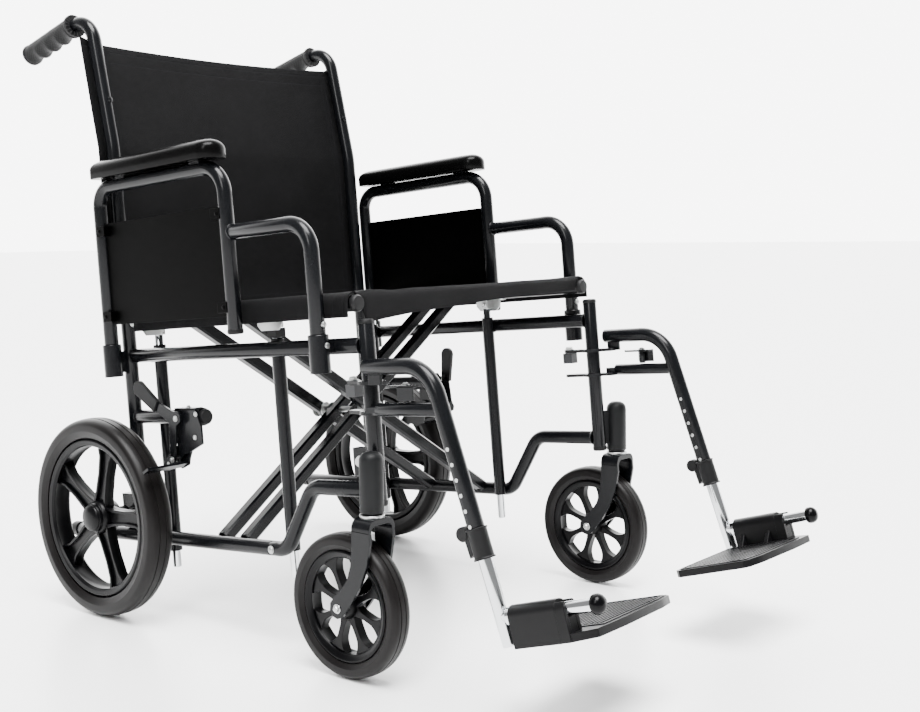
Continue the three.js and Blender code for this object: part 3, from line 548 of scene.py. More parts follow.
weave(nylon, (-0.262, 0.262), (-0.2335, -0.214, 0.2335, 0.214))
section = [(-284.8, 470.5), (-284.9, 478), (-284.8, 488)]
for a in np.linspace(math.pi, math.pi / 2, 9)[1:]:
    section.append((-SEAT_X + 16 * math.cos(a), SEAT_Z + 16 * math.sin(a)))
for x in np.linspace(-SEAT_X, 0, 30)[1:]:
    section.append((x, 504.5))
section += [(-x, z) for x, z in section[:-1][::-1]]
run = [0.0]
for a, b in zip(section, section[1:]):
    run.append(run[-1] + math.dist(a, b))
middle = run[-1] / 2
across = [r - middle for r in run]
along = [-238.5 - d for d in (36, 30, 24, 18, 12, 7, 3)] + list(np.linspace(-238.5, 238.5, 41))
points = []
for (x, z), u in zip(section, across):
    row = []
    for v in along:
        inner = max(0.0, 1 - (x / SEAT_X) ** 2) if abs(x) < SEAT_X else 0.0
        sag = -5.0 * inner * (0.25 + 0.75 * math.cos(v / 238.5 * math.pi / 2))
        pull = 0.9 * math.sin(v / 17 + 2.2 * math.sin(x / 60)) * inner * (1 - inner) * 3
        pull += 1.3 * math.exp(-((v + 232) / 36) ** 2) * math.sin(x / 13) * min(1.0, abs(x) / 262) ** 2
        hang = max(0.0, -238.5 - v)
        flap = min(1.0, max(0.0, (264 - abs(x)) / 12))
        drop = hang * flap * (0.84 + 0.4 * (x / 262) ** 2) * (1 - 0.55 * min(1.0, max(0.0, (x + 60) / 320)))
        round_edge = 4.5 * math.sin(min(1.0, hang / 9) * math.pi / 2) * flap
        ripple = 1.5 * math.sin(x / 23 + 0.6) * (hang / 36) ** 1.4 * flap
        lift = 0.0
        if z < 500 and abs(x) > 270:
            lift = 1.5 * math.sin(v / 21) + 1.0 * math.sin(v / 9.0 + x)
        y = -308.5 + max(v, -238.5) - round_edge - ripple - 0.1 * hang * (1 - flap)
        row.append((x + math.copysign(lift * (504 - z) / 34, x) * 0.9, y,
                    z + sag + pull * (1 - hang / 72) - drop))
    points.append(row)
seat = cloth("seat_sling_visual", points, across, along, 2.4, nylon, "guides_right", "seat_sling")

# The back's cloth is the same nylon, a little smoother.
back_cloth = material("woven_nylon_back_cloth", "#0c0c0d", 0.62, grain=0.004, depth=0.12, uneven=0.05,
                      patchy=0.18,
                 specular=0.06)
weave(back_cloth, (-0.252, -0.244, 0.252, 0.244), (0.2035, 0.186, -0.2125))


def post_y(z):
    if z < 770:
        return REAR
    return REAR + (z - 770) * (5.7 - REAR) / (989.9 - 770)


across = list(np.linspace(-289, 289, 61))
along = list(np.linspace(-224, 215, 46))
points = []
for x in across:
    row = []
    for v in along:
        z = 731 + v
        inner = max(0.0, 1 - (x / 262) ** 2) if abs(x) < 262 else 0.0
        bow = 9 * inner * (0.7 + 0.3 * math.cos(v / 215 * 1.4))
        folds = 0.8 * math.sin(v / 19 + 1.7 * math.sin(x / 45)) * inner * (1 - inner) * 3
        dip = -5 * inner * max(0.0, v / 215) ** 3
        wrap = 0.0
        if abs(x) > 268:
            wrap = -((abs(x) - 268) / 21) ** 2 * 3.0
        corner_up = 9 * max(0.0, (abs(x) - 260) / 29) ** 0.6 * max(0.0, v / 215) ** 4
        row.append((x, post_y(z) + R + 2.6 + bow + folds + wrap, z + dip + corner_up))
    points.append(row)
back = cloth("back_sling_visual", points, across, along, 2.6, back_cloth, "side_frame_right", "back_sling")

screws = Piece()
for z in (540, 620, 700, 780, 848, 915):
    y = post_y(z) + R + 4.0
    screws.turned([(0, 0), (6, 0), (5.4, 1.8), (3, 2.8), (0, 3)], (X, y, z), (0, 1, -0.1 if z > 770 else 0),
                  20, 1)
screws.turned([(0, -1), (5, -1), (4.4, 1.2), (2.5, 2), (0, 2.2)], (X + 3, post_y(848) - R, 848),
              (0.25, -1, 0.1), 20, 0)
pair("back_screw", screws, from_frame, [paint, zinc], "side_frame", ())

# ---- Push grips ----
# Moulded rubber grips with a flange, four finger hollows underneath and a raised diamond pattern.
# They are pushed over the bent ends of the back posts.
# Grip rubber is matte, and its raised diamonds catch small points of light.
grip_rubber = material("diamond_moulded_rubber", "#0b0b0c", 0.5, grain=0.0012, depth=0.04, uneven=0.07,
                       specular=0.16)
t = grip_rubber.node_tree
uv = add(t, "ShaderNodeUVMap")
parts = add(t, "ShaderNodeSeparateXYZ", [("Vector", uv.outputs["UV"])])
DIAMOND = 0.0055
diamonds = []
for sign in (1, -1):
    u = add(t, "ShaderNodeMath", [(0, parts.outputs["X"])], operation="MULTIPLY")
    u.inputs[1].default_value = 18 * sign
    v = add(t, "ShaderNodeMath", [(0, parts.outputs["Y"])], operation="MULTIPLY")
    v.inputs[1].default_value = 1 / DIAMOND
    both = add(t, "ShaderNodeMath", [(0, u.outputs[0]), (1, v.outputs[0])], operation="ADD")
    tri = add(t, "ShaderNodeMath", [(0, both.outputs[0])], operation="PINGPONG")
    tri.inputs[1].default_value = 0.5
    diamonds.append(tri.outputs[0])
knurl = add(t, "ShaderNodeMath", [(0, diamonds[0]), (1, diamonds[1])], operation="MINIMUM")
raised = add(t, "ShaderNodeMapRange", [("Value", knurl.outputs[0])], from_min=0.05, from_max=0.2)
pattern = add(t, "ShaderNodeBump", [("Height", raised.outputs["Result"]),
              ("Normal", t.nodes[grip_rubber["bump"]].outputs["Normal"])], strength=1.0, distance=0.0009)
t.links.new(pattern.outputs["Normal"], t.nodes[grip_rubber["bsdf"]].inputs["Normal"])

grip = Piece()
start = np.array([X, 5.7, 989.9])
way = unit([0, 161.3, -29.9])
down = unit(np.cross(way, [1.0, 0, 0]))
down = down if down[2] < 0 else -down
out = np.array([1.0, 0, 0])
stations = []
sizes = [(44, 11.6), (44, 18.4), (45, 19.3), (49, 19.3), (50.5, 18.4), (52, 17.2)]
sizes += [(d, 17.0) for d in np.linspace(54, 176, 66)]
sizes += [(178, 17.2), (178.6, 17.9), (182, 17.9), (183.5, 16.8), (184.5, 13), (185, 3)]
for d, r in sizes:
    ring = []
    for k in range(40):
        a = 2 * math.pi * k / 40
        local = r
        if 54 <= d <= 176:
            under = max(0.0, math.cos(a)) ** 0.8
            local += under * (1.4 - 4.6 * abs(math.sin(math.pi * (d - 54) / 30.5)) ** 1.3)
        ring.append(start + way * d + down * local * math.cos(a) + out * local * math.sin(a))
    stations.append((ring, d))
grip.rings(stations, 40)
pair("push_grip", grip, from_frame, [grip_rubber], "side_frame", ["push_grip"])

# ---- Armrests ----
# A bent tube with a desk-length loop plugs into two sockets. It carries a screwed plastic skirt
# panel and a moulded pad with a soft crowned top.
arm = Piece()
AX, AR, AF, AL = -301.9, -27.5, -335, -507
LOOP_Z = 604.9
arm.tube([(AX, AR, 404), (AX, AR, 703), (AX, AF, 703), (AX, AF, 462)], R, [32, 42])
arm.turned([(0, 0), (11.8, 0), (11.8, 5), (10, 7), (0, 7.5)], (AX, AF, 464), (0, 0, -1), 32, 2)
arm.tube([(AX, AF - 8, LOOP_Z), (AX, AL, LOOP_Z), (AX, AL, 401)], R, 42)
arm.weld((AX, AF - 11, LOOP_Z), (0, 1, 0), R - 0.3)
for y in (-95, -280):
    arm.box((AX - 8, AX + 8), (y - 12, y + 12), (702, 715))
arm.turned([(0, -0.5), (4.2, -0.5), (4.2, 2.6), (3.4, 3.4), (0, 3.6)], (AX + 1, AL - R + 0.4, 463),
           (0.1, -1, 0), 24, 1)
pair("armrest_tube", arm, from_frame, [paint, zinc, tip_rubber], "armrest", ["armrest_tube"], 0.5)

# Sheet plastic is the deepest black on the chair, with a faint satin sheen.
panel_plastic = material("satin_black_sheet_plastic", "#010101", 0.4, grain=0.0011, depth=0.02, uneven=0.05,
                         specular=0.03)
panel = Piece()
py0, py1, pz0, pz1 = AF + R + 0.5, AR - R - 0.5, 483.5, 645
corner = []
for cy, cz, a0 in ((py1 - 6, pz1 - 6, 0), (py0 + 6, pz1 - 6, 90), (py0 + 6, pz0 + 6, 180),
                   (py1 - 6, pz0 + 6, 270)):
    for a in np.linspace(a0, a0 + 90, 6):
        corner.append((cy + 6 * math.cos(math.radians(a)), cz + 6 * math.sin(math.radians(a))))
panel.slab(corner, AX - 2, AX + 2)
for y in (AF + 1, AR - 22):
    for z in (489, 625):
        panel.box((AX - 12.2, AX - 2), (y, y + 21), (z, z + 16))
for y in (AF + 8, AR - 8):
    for z in (633, 497):
        panel.turned([(0, 0), (3.4, 0), (3.1, 1.0), (1.8, 1.6), (0, 1.7)], (AX - 12, y, z), (-1, 0, 0), 20)
pair("armrest_panel", panel, from_frame, [panel_plastic, zinc], "armrest", ["armrest_panel"], 0.9)

# Grained vinyl is dark, with a soft gloss along the pad's crown.
pad_skin = material("grained_black_vinyl", "#050505", 0.22, grain=0.0016, depth=0.05, uneven=0.06,
                    coat=0.03, specular=0.05)


def pad_outline(inset):
    """A ring round the pad: square behind, narrowing to a rounded nose in front."""
    pts = []
    y0, y1, h = -330 + inset, -36 - inset, 26 - inset
    c = min(12, h)
    for a in np.linspace(0, 90, 8):
        pts.append((h - c + c * math.cos(math.radians(a)), y1 - c + c * math.sin(math.radians(a))))
    for a in np.linspace(90, 180, 8):
        pts.append((-h + c + c * math.cos(math.radians(a)), y1 - c + c * math.sin(math.radians(a))))
    for a in np.linspace(180, 360, 25)[1:-1]:
        pts.append((h * math.cos(math.radians(a)), y0 + 24 + 24 * math.sin(math.radians(a))))
    return pts


pad = Piece()
levels = [(3.5, 714.6), (0.6, 715), (0, 716.5), (0, 729), (0.5, 732.4), (2, 735.6), (4.6, 738.6),
          (8.5, 741), (13, 742.8),
          (17.5, 743.6), (21.5, 743.9)]
stations = []
for inset, z in levels:
    ring = [np.array([AX + a, b, z]) for a, b in pad_outline(inset)]
    stations.append((ring, z))
sides = len(stations[0][0])
pad.rings(stations, sides)
for arm_pad in pair("armrest_pad", pad, from_frame, [pad_skin], "armrest", ["armrest_pad"], crease=50):
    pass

# ---- Rear wheels ----
# 12.5 in. moulded wheels: a five-spoke centre with a domed cap and a solid tyre pressed on it.
# Each turns on the plated axle that stands out of its back post.
# Tyre rubber is a soft black that leans to grey-brown.
tyre_rubber = material("grey_brown_tyre_rubber", "#0a0808", 0.42, grain=0.0013, depth=0.05, uneven=0.06,
                       patchy=0.1,
                       specular=0.15)
# Moulded nylon wheels are a deep black with a smooth, low gloss.
wheel_plastic = material("moulded_black_nylon_plastic", "#040405", 0.3, grain=0.0014, depth=0.04,
                         uneven=0.06,
                         specular=0.12)


def tyre_profile(outer, inner, half, x):
    """A closed section: rounded shoulders, two fine tread grooves and a bead at the rim."""
    pts = [(inner, -half + 5), (inner + 3, -half + 2.6)]
    mid = (outer + inner) / 2
    for a in np.linspace(200, 90, 15):
        pts.append((mid + (outer - mid) * (0.28 + 0.72 * math.sin(math.radians(max(0, 180 - a)))) if a < 180
                    else mid - 4, -half * (1 if a >= 180 else abs(math.cos(math.radians(a))) ** 0.62)))
    groove = [(outer - 0.2, -half * 0.32), (outer - 1.3, -half * 0.29), (outer - 1.3, -half * 0.24),
              (outer, -half * 0.21)]
    left = [p for p in pts if p[1] < -half * 0.34] + groove
    right = [(r, -t) for r, t in left[::-1]]
    return [(r, t + x) for r, t in left + right]


wx, wz = -331, AXLE_Z
tyre = Piece()
tyre.turned(tyre_profile(158.75, 128.4, 22.5, wx), (0, 0, wz), (1, 0, 0), 96, closed=True)
pair("rear_tyre", tyre, from_ground, [tyre_rubber], "rear_wheel", ["rear_tyre"], crease=30)

wheel = Piece()
wheel.turned([(114, wx - 13), (117, wx - 17), (124, wx - 18), (127, wx - 15.5), (128.2, wx - 12),
              (128.2, wx + 12),
              (127, wx + 15.5), (124, wx + 18), (117, wx + 17), (114, wx + 13), (116.5, wx + 8),
              (116.5, wx - 8)],
             (0, 0, wz), (1, 0, 0), 96, closed=True)
wheel.turned([(0, 18), (11, 22), (21, 22), (23, 20), (25, 12), (27, 6), (27, -8), (25, -12), (23, -14),
              (23, -18),
              (22, -20)], (wx, 0, wz), (1, 0, 0), 48)
wheel.turned([(0, -16), (21.5, -16), (21.5, -21), (20.5, -23), (17, -25.2), (12, -26.6), (6, -27.3),
              (0, -27.5)],
             (wx, 0, wz), (1, 0, 0), 48)
for i in range(5):
    a = math.radians(13 + 72 * i)
    out = np.array([0, -math.sin(a), math.cos(a)])
    side = np.array([0, math.cos(a), math.sin(a)])
    hub = np.array([wx, 0, wz])
    web = [(-17, 20), (-13, 40), (-11.5, 70), (-13.5, 98), (-22, 117), (22, 117), (13.5, 98), (11.5, 70),
           (13, 40),
           (17, 20)]
    wheel.prism(web, hub - np.cross(side, out) * 3.2, side, out, 6.4)
    for sign in (-1, 1):
        edge = [(sign * 17, 20), (sign * 13, 40), (sign * 11.5, 70), (sign * 13.5, 98), (sign * 22, 117),
                (sign * 16, 117), (sign * 9, 98), (sign * 7, 70), (sign * 8.5, 40), (sign * 11, 20)]
        depth = 17.0
        n = np.cross(side, out)
        wheel.prism(edge, hub - n * depth / 2, side, out, depth)
pair("rear_wheel", wheel, from_ground, [wheel_plastic], "rear_wheel", ["rear_wheel"], 0.9)

# ---- Casters ----
# 8 in. casters: a welded steel fork on a bearing stem and an eight-spoke moulded wheel in a solid tyre.
# The wheel runs on a bolt through both legs of the fork.
cx, cy, cz = -298, -525.5, 100
caster_tyre = Piece()
caster_tyre.turned(tyre_profile(100, 78.4, 17, cx), (0, cy, cz), (1, 0, 0), 80, closed=True)
pair("caster_tyre", caster_tyre, from_ground, [tyre_rubber], "caster_wheel", ["caster_tyre"], crease=30)

caster = Piece()
caster.turned([(66, cx - 9), (68.5, cx - 12), (75, cx - 14), (77.5, cx - 12.5), (78.2, cx - 9),
               (78.2, cx + 9),
               (77.5, cx + 12.5), (75, cx + 14), (68.5, cx + 12), (66, cx + 9), (67, cx + 5), (67, cx - 5)],
              (0, cy, cz), (1, 0, 0), 80, closed=True)
caster.turned([(0, -18), (12, -18), (14, -17), (16.5, -12), (19, -8), (19, 8), (16.5, 12), (14, 17),
               (12, 18),
               (0, 18)], (cx, cy, cz), (1, 0, 0), 40)
for i in range(8):
    a = math.radians(18 + 45 * i)
    out = np.array([0, -math.sin(a), math.cos(a)])
    side = np.array([0, math.cos(a), math.sin(a)])
    n = np.cross(side, out)
    hub = np.array([cx, cy, cz])
    rs = np.linspace(16, 68.5, 14)
    half = [4.2 + 16 * max(0.0, (r - 43) / 25.5) ** 2.3 + 2.6 * max(0.0, (30 - r) / 14) for r in rs]
    web = [(-h, r) for h, r in zip(half, rs)] + [(h, r) for h, r in zip(half[::-1], rs[::-1])]
    caster.prism(web, hub - n * 7, side, out, 14)
pair("caster_wheel", caster, from_ground, [wheel_plastic], "caster_wheel", ["caster_wheel"], 0.8)

fork = Piece()
leg = [(-588, 212), (-589, 200), (-583, 168), (-570, 138), (-553, 112), (-541, 97), (-534, 89),
       (-525, 85.5),
       (-516, 88), (-511, 96), (-512, 106), (-520, 116), (-533, 127), (-545, 143), (-552, 163), (-555, 190),
       (-555, 212)]
fork.slab(leg, cx - 25, cx - 19.8)
fork.slab(leg, cx + 19.8, cx + 25)
crown = [(-25, 210), (-25, 216), (-23, 222), (-18.5, 226.4), (-12, 228), (12, 228), (18.5, 226.4),
         (23, 222), (25, 216),
         (25, 210), (19.8, 210), (19.8, 214), (17, 218), (12, 219.6), (-12, 219.6), (-17, 218),
         (-19.8, 214), (-19.8, 210)]
fork.prism(crown, (cx, -555, 0), (1, 0, 0), (0, 0, 1), 33)
fork.turned([(0, 227), (16, 227), (17, 229), (17, 231.5), (13, 233), (0, 233)], (cx, -570.5, 0), (0, 0, 1),
            36, 1)
fork.rod((cx, -570.5, 224), (cx, -570.5, 285), 6.4, 1)
fork.rod((cx - 26, cy, cz), (cx + 26, cy, cz), 5, 1)
fork.bolt((cx - 25, cy, cz), (-1, 0, 0), 4.8, 3.6, 6.5)
fork.bolt((cx + 25, cy, cz), (1, 0, 0), 4.8, 3.8, 6.5)
pair("caster_fork", fork, from_ground, [paint, zinc], "caster_fork", ["caster_fork"], 1.6)

# ---- Footrest hangers ----
# Each hanger hooks on the front post by two pierced plates and swings outwards once its latch is
# pressed. The leg slopes forward and has a row of height holes.
hx = -288.8
corner, foot = np.array([hx, -693.4, 402]), np.array([hx, -757.8, 175.3])
rise = unit(corner - foot)


def leg_at(d):
    return foot + rise * d


hanger = Piece()
hanger.tube([(hx, FRONT - 13.5, 402), tuple(corner), tuple(leg_at(-13))], R, 55)
hanger.rod((hx, FRONT - 32, 345), (hx, -708, 345), 9)
hanger.box((hx - 8.5, hx + 8.5), (FRONT - 36, FRONT - 16), (341, 349))
hanger.box((hx - 2.5, hx + 2.5), (FRONT - 40, FRONT - 18), (378, 400))
for z in (380, 339):
    hanger.turned([(11.4, z - 2.5), (17.5, z - 2.5), (17.5, z + 2.5), (11.4, z + 2.5)], (X, FRONT, 0),
                  (0, 0, 1), 40, 0, closed=True)
    a = math.radians(-12)
    ux = np.array([math.cos(a), math.sin(a), 0])
    uy = np.array([-math.sin(a), math.cos(a), 0])
    hanger.prism([(-8, 14), (8, 14), (8, 46), (4, 50), (-4, 50), (-8, 46)], (X, FRONT, z - 2.5), ux, uy, 5)
    hanger.prism([(-20, -34), (-3, -34), (2, -14), (-14, -12)], (X, FRONT, z - 2.5), (1, 0, 0), (0, 1, 0),
                 5)
hanger.rod((X + 9, FRONT + 42, 366), (X + 9, FRONT + 42, 388), 4, 1)
hanger.bolt((X + 9, FRONT + 42, 382.5), (0, 0, 1), 6, 4, 8)
hanger.box((X + 1, X + 17), (FRONT + 32, FRONT + 50), (360, 377), 3)
hanger.weld((hx, -706.5, 345), (0, 1, 0.1), 9, 1.5)
for i in range(6):
    for sign in (-1, 1):
        hanger.turned([(0, 0), (2.7, 0), (2.7, 0.5), (0, 0.5)],
                      leg_at(24 + i * 20.2) + np.array([sign * (R - 0.1), 0, 0]),
                      (sign, 0, 0), 20, 1)
# Moulded grey nylon shows as a slightly lighter block under the hanger's bolt.
grey_nylon = material("moulded_grey_nylon", "#1e1f21", 0.5, grain=0.0012, depth=0.03)
pair("footrest_hanger", hanger, from_frame, [paint, zinc, tip_rubber, grey_nylon], "hanger",
     ["footrest_hanger"], 0.6)

latch = Piece()
latch.prism([(-7, -668), (7, -668), (7, -626), (3, -618), (-3, -618), (-7, -626)], (hx, 0, 374), (1, 0, 0),
            (0, 1, 0), 3)
latch.box((hx - 7, hx - 4.4), (-668, -640), (357, 376))
latch.rod((hx, -650, 355), (hx, -650, 379), 5)
latch.bolt((hx, -650, 377), (0, 0, 1), 3.8, 2.6, 5.4)
pair("hanger_latch", latch, from_frame, [paint, zinc], "latch", ["hanger_latch"], 0.5)

collar = Piece()
collar.turned([(11.4, -19), (14.3, -19), (14.3, -17), (13, -16.4), (13, 18.4), (14.3, 19), (14.3, 21),
               (11.4, 21)],
              foot, rise, 40, 0, closed=True)
at = leg_at(6.5)
collar.slab([(at[1] + 8, at[2] - 20), (at[1] + 8, at[2] + 12), (at[1] + 17, at[2] + 15),
             (at[1] + 22, at[2] + 2),
             (at[1] + 13, at[2] - 25)], hx - 5.5, hx + 5.5)
collar.turned([(0, -7), (8.6, -7), (9.6, -5.5), (9.6, 5.5), (8.6, 7), (0, 7)], (hx, at[1] + 24, at[2] + 5),
              (1, 0, 0), 32)
pair("height_collar", collar, from_frame, [tip_rubber, zinc], "hanger", ["height_collar"], 0.7)

# ---- Footrest tubes ----
# Chrome plated tube slides in the hanger for height. A shaft welded through its foot carries the
# footplate and ends in a domed cap.
pitch = math.radians(11.93)
tip = np.array([hx, -933.4, 117.3])
fore = np.array([0, -math.cos(pitch), math.sin(pitch)])
over = np.array([0, math.sin(pitch), math.cos(pitch)])
tube = Piece()
tube.tube([tuple(leg_at(-130)), tuple(leg_at(150))], 9.5)
tube.rod(tip - fore * 152, tip - fore * 6, 8.3)
tube.turned([(8.3, 130), (12, 130), (12, 139), (8.3, 139)], tip - fore * 270, fore, 32, 0, closed=True)
tube.turned([(0, -9), (11.6, -9), (12.3, -7.8), (12.3, -3.4), (11.2, 0.4), (8.6, 3.3), (4.6, 5), (0, 5.5)],
            tip, fore, 40, 1)
ball_plastic = material("polished_black_cap_plastic", "#040405", 0.22, grain=0.0012, depth=0.01,
                        uneven=0.04,
                        specular=0.1)
pair("footrest_tube", tube, from_frame, [chrome, ball_plastic], "footrest_tube", ["footrest_tube"], 0.3)

# ---- Footplates ----
# Moulded composite plates with a ribbed tread, a barrel over the shaft and a deep side wall.
plate_plastic = material("moulded_black_composite", "#09090a", 0.36, grain=0.0014, depth=0.04, uneven=0.06,
                         specular=0.14)


def on_plate(l, s, b):
    """From inner reach, distance behind the shaft's tip and height over the shaft to frame axes."""
    return tip + np.array([l, 0, 0]) - fore * s + over * b


plate = Piece()
outline = [(-12.9, -134.4), (-12.9, -47), (3, -15), (60, -13), (150, -18), (178, -24), (185, -32),
           (185, -140),
           (178, -148), (30, -148), (30, -134.4)]
plate.prism(outline, tip + over * -28.3, (1, 0, 0), fore, 10.4)
rim = [(24, -20), (150, -23.5), (176, -29), (180, -35), (180, -138), (175, -143), (24, -143)]
inner = [(28, -24), (149, -27.5), (173, -32.5), (176, -37), (176, -136), (172, -139), (28, -139)]
low_z, high_z = -28.4, -26.9
for a, b, c, d in zip(rim, rim[1:] + rim[:1], inner, inner[1:] + inner[:1]):
    plate.prism([a, b, d, c], tip + over * high_z, (1, 0, 0), fore, high_z - low_z)
for i in range(13):
    s = 33 + i * 8.2
    plate.prism([(32, -s), (172, -s), (172, -s - 4), (32, -s - 4)], tip + over * (low_z + 1.3), (1, 0, 0),
                fore, 1.3)
barrel = [(-13.5, -38.9), (-13.5, 0)]
for a in np.linspace(180, 0, 17)[1:-1]:
    barrel.append((13.5 * math.cos(math.radians(a)), 13.5 * math.sin(math.radians(a))))
barrel += [(13.5, 0), (13.5, -38.9)]
plate.prism(barrel, on_plate(0, 134, 0), (1, 0, 0), over, 74)
cheek = [(-13.5, -38.7), (-13.5, 0), (-12, 6), (-9, 10), (-6.9, 10), (-6.9, -38.7)]
plate.prism(cheek, on_plate(0, 60.5, 0), (1, 0, 0), over, 15)
plate.prism([(-l, b) for l, b in cheek], on_plate(0, 60.5, 0), (1, 0, 0), over, 15)
plate.prism([(-7, -38.6), (7, -38.6), (7, -9), (-7, -9)], on_plate(0, 60.4, 0), (1, 0, 0), over, 14.6)
plate.prism([(13, -28), (30, -28), (13, -10)], on_plate(0, 78, 0), (1, 0, 0), over, 6)
plate.prism([(13, -28), (30, -28), (13, -10)], on_plate(0, 122, 0), (1, 0, 0), over, 6)
pair("footplate", plate, from_frame, [plate_plastic], "footplate", ["footplate"], 1.0)

# ---- Wheel locks ----
# A clamp on the brake tube carries a pressed plate, a hand lever and an arm that pushes a blade
# against the tyre. The right lock is off; the left one is on, with its lever pushed forward.
bracket = Piece()
bracket.turned([(11.5, -203), (14, -203), (14, -154), (11.5, -154)], (X, 0, 332), (0, 1, 0), 36, 0,
               closed=True)
bracket.slab([(-154, 346), (-154, 290), (-146, 270), (-150, 261), (-156, 262), (-172, 276), (-180, 277),
              (-216, 292),
              (-216, 318), (-204, 346)], X - 17, X - 13.4)
bracket.box((X - 17, X), (-203, -154), (343.5, 347.5))
bracket.rod((X - 15, -152, 268), (X - 28, -152, 268), 4, 1)
bracket.rod((X - 15, -162, 284), (X - 6, -162, 284), 4, 1)
bracket.bolt((X - 17, -206, 338), (-1, 0, 0), 3, 2, 4)
bracket.bolt((X - 17, -200, 302), (-1, 0, 0), 3, 2, 4)
bracket.bolt((X - 8, -178, 347), (0, 0, 1), 3.4, 2.6, 4.6)
pair("brake_bracket", bracket, from_frame, [paint, zinc], "side_frame", ["brake_bracket"], 0.7)

PIVOT, LOCK = (-152, 268), math.radians(63)
lever = Piece()
lever.slab([(-178, 338), (-178, 327), (-168, 321), (-156, 322), (-112, 348), (-118, 361), (-162, 343),
            (-172, 343)],
           X - 26.6, X - 22.8)
lever.slab([(-169, 330), (-151, 332), (-146, 269), (-149, 262.5), (-155, 262.5), (-158, 269)], X - 26.8,
           X - 22.8)
tilt = math.radians(31.7)
handle = [(-118, 343), (-128, 359)]
for a in np.linspace(math.pi / 2, -math.pi / 2, 13):
    handle.append((-82 + 12 * math.cos(a + tilt), 380 + 12 * math.sin(a + tilt)))
lever.slab(handle, X - 30, X - 23, 2)
lever.bolt((X - 26.8, *PIVOT), (-1, 0, 0), 3.2, 2.2, 4.8)
lever.bolt((X - 26.6, -168, 332), (-1, 0, 0), 3.2, 2.2, 4.8)


def moved(piece, change):
    """A copy of a piece whose array of vertices is changed by a function."""
    other = Piece()
    other.faces, other.uvs, other.slots = piece.faces, piece.uvs, piece.slots
    other.verts = [tuple(v) for v in change(np.array(piece.verts, float))]
    return other


def lock(v):
    c, s = math.cos(LOCK), math.sin(LOCK)
    y, z = v[:, 1] - PIVOT[0], v[:, 2] - PIVOT[1]
    return np.stack([v[:, 0], PIVOT[0] + y * c - z * s, PIVOT[1] + y * s + z * c], 1)


lever_looks = [paint, zinc, tip_rubber]
made("brake_lever_right_visual", lever, from_frame, lever_looks, "brake_lever_right", ["brake_lever_right"],
     1.2)
made("brake_lever_left_visual", moved(lever, lock), from_frame, lever_looks, "brake_lever_left",
     ["brake_lever_left"], 1.2, mirror=True)

to_axle = unit([0, 0.894, -0.448])
up_bar = np.array([0, 0.448, 0.894])
shoe = Piece()
shoe.slab([(-184, 300), (-184, 284), (-176, 270), (-172, 258), (-156, 252), (-140, 258), (-118, 247),
           (-108, 256),
           (-124, 273), (-154, 292), (-170, 302), (-180, 302)], X - 12.6, X - 8.6)
shoe.prism([(-25, -2), (55, -2), (55, 2), (-25, 2)], np.array([-332, -166.2, 259.8]) + to_axle * 8,
           (1, 0, 0), up_bar, 16)
shoe.turned([(0, 0), (3.4, 0), (3.2, 0.8), (0, 1)], (X - 12.6, -122, 259), (-1, 0, 0), 24, 1)
made("brake_shoe_right_visual", shoe, from_frame, [paint, zinc], "brake_shoe_right", ["brake_shoe_right"],
     0.8)
made("brake_shoe_left_visual", moved(shoe, lambda v: v + to_axle * 11.6), from_frame, [paint, zinc],
     "brake_shoe_left", ["brake_shoe_left"], 0.8, mirror=True)

# ---- Floor, light and camera ----
floor_mesh = bpy.data.meshes.new("floor")
floor_mesh.from_pydata([(-45, -45, 0), (45, -45, 0), (45, 45, 0), (-45, 45, 0)], [], [(0, 1, 2, 3)])
floor = bpy.data.objects.new("floor", floor_mesh)
floor.location.z = -0.0006
bpy.context.scene.collection.objects.link(floor)
floor_mesh.materials.append(material("plain_white_floor", "#f4f4f4", 0.32, grain=0.05, depth=0.0,
                                     uneven=0.03))

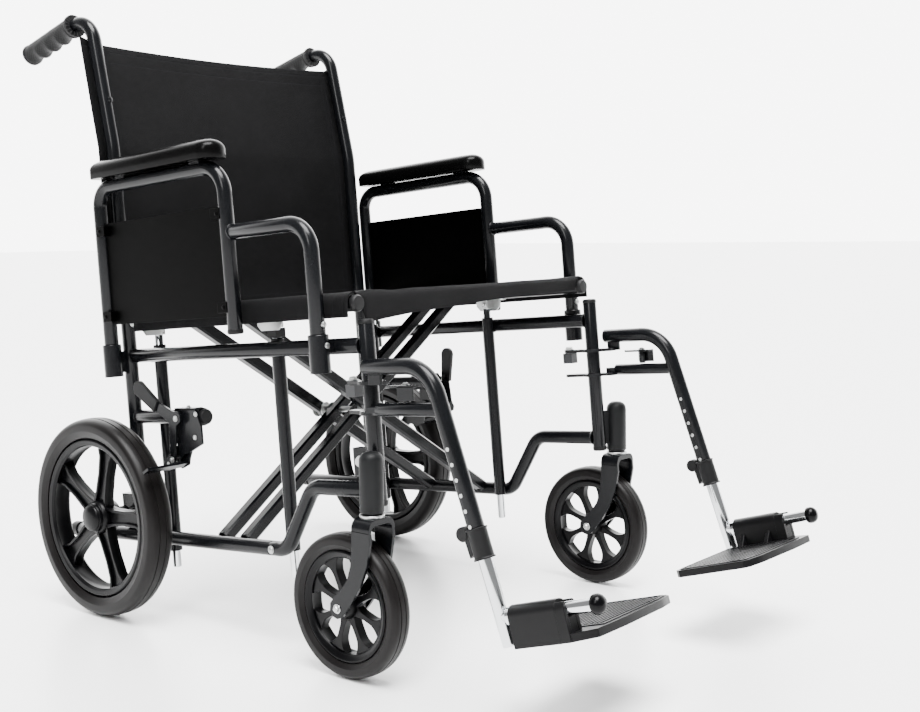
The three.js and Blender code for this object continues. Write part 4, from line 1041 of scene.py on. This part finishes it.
world = bpy.data.worlds.new("studio")
bpy.context.scene.world = world
world.use_nodes = True
studio = world.node_tree
sky = studio.nodes["Background"]
toward = add(studio, "ShaderNodeVectorMath", [(0, add(studio, "ShaderNodeTexCoord").outputs["Generated"])],
             operation="DOT_PRODUCT")
toward.inputs[1].default_value = (0.76, 0.64, -0.1)
glow = add(studio, "ShaderNodeMapRange", [("Value", toward.outputs["Value"])], from_min=0.1, from_max=0.8,
           to_min=0.4, to_max=7.5)
sky.inputs["Color"].default_value = colour("#ffffff")
studio.links.new(glow.outputs["Result"], sky.inputs["Strength"])


def lamp(name, at, target, size, power):
    data = bpy.data.lights.new(name, "AREA")
    data.shape, data.size, data.size_y, data.energy = "RECTANGLE", size[0], size[1], power
    obj = bpy.data.objects.new(name, data)
    obj.location = at
    obj.rotation_mode = "QUATERNION"
    obj.rotation_quaternion = (Vector(target) - Vector(at)).to_track_quat("-Z", "Y")
    bpy.context.scene.collection.objects.link(obj)


lamp("key", (-2.6, -1.0, 2.6), (0, 0, 0.4), (0.7, 2.2), 80)
sun_data = bpy.data.lights.new("soft_sun", "SUN")
sun_data.energy, sun_data.angle = 12.0, math.radians(38)
sun = bpy.data.objects.new("soft_sun", sun_data)
sun.rotation_euler = (math.radians(12), math.radians(-8), 0)
bpy.context.scene.collection.objects.link(sun)

camera_data = bpy.data.cameras.new("camera")
camera = bpy.data.objects.new("camera", camera_data)
bpy.context.scene.collection.objects.link(camera)
yaw, tilt, roll = math.radians(50.408), math.radians(4.472), -0.01382
ahead = Vector((math.sin(yaw) * math.cos(tilt), math.cos(yaw) * math.cos(tilt), -math.sin(tilt)))
right = ahead.cross(Vector((0, 0, 1))).normalized()
up = right.cross(ahead)
right, up = right * math.cos(roll) + up * math.sin(roll), up * math.cos(roll) - right * math.sin(roll)
turn = Matrix((right, up, -ahead)).transposed()
camera.matrix_world = Matrix.Translation((-1.5046, -1.7446 + AXLE_Y / 1000, 0.6076)) @ turn.to_4x4()
camera_data.lens = 49.807
camera_data.sensor_width = 36
camera_data.shift_x, camera_data.shift_y = -0.01202, -0.0280
camera_data.clip_start, camera_data.clip_end = 0.05, 60
bpy.context.scene.camera = camera
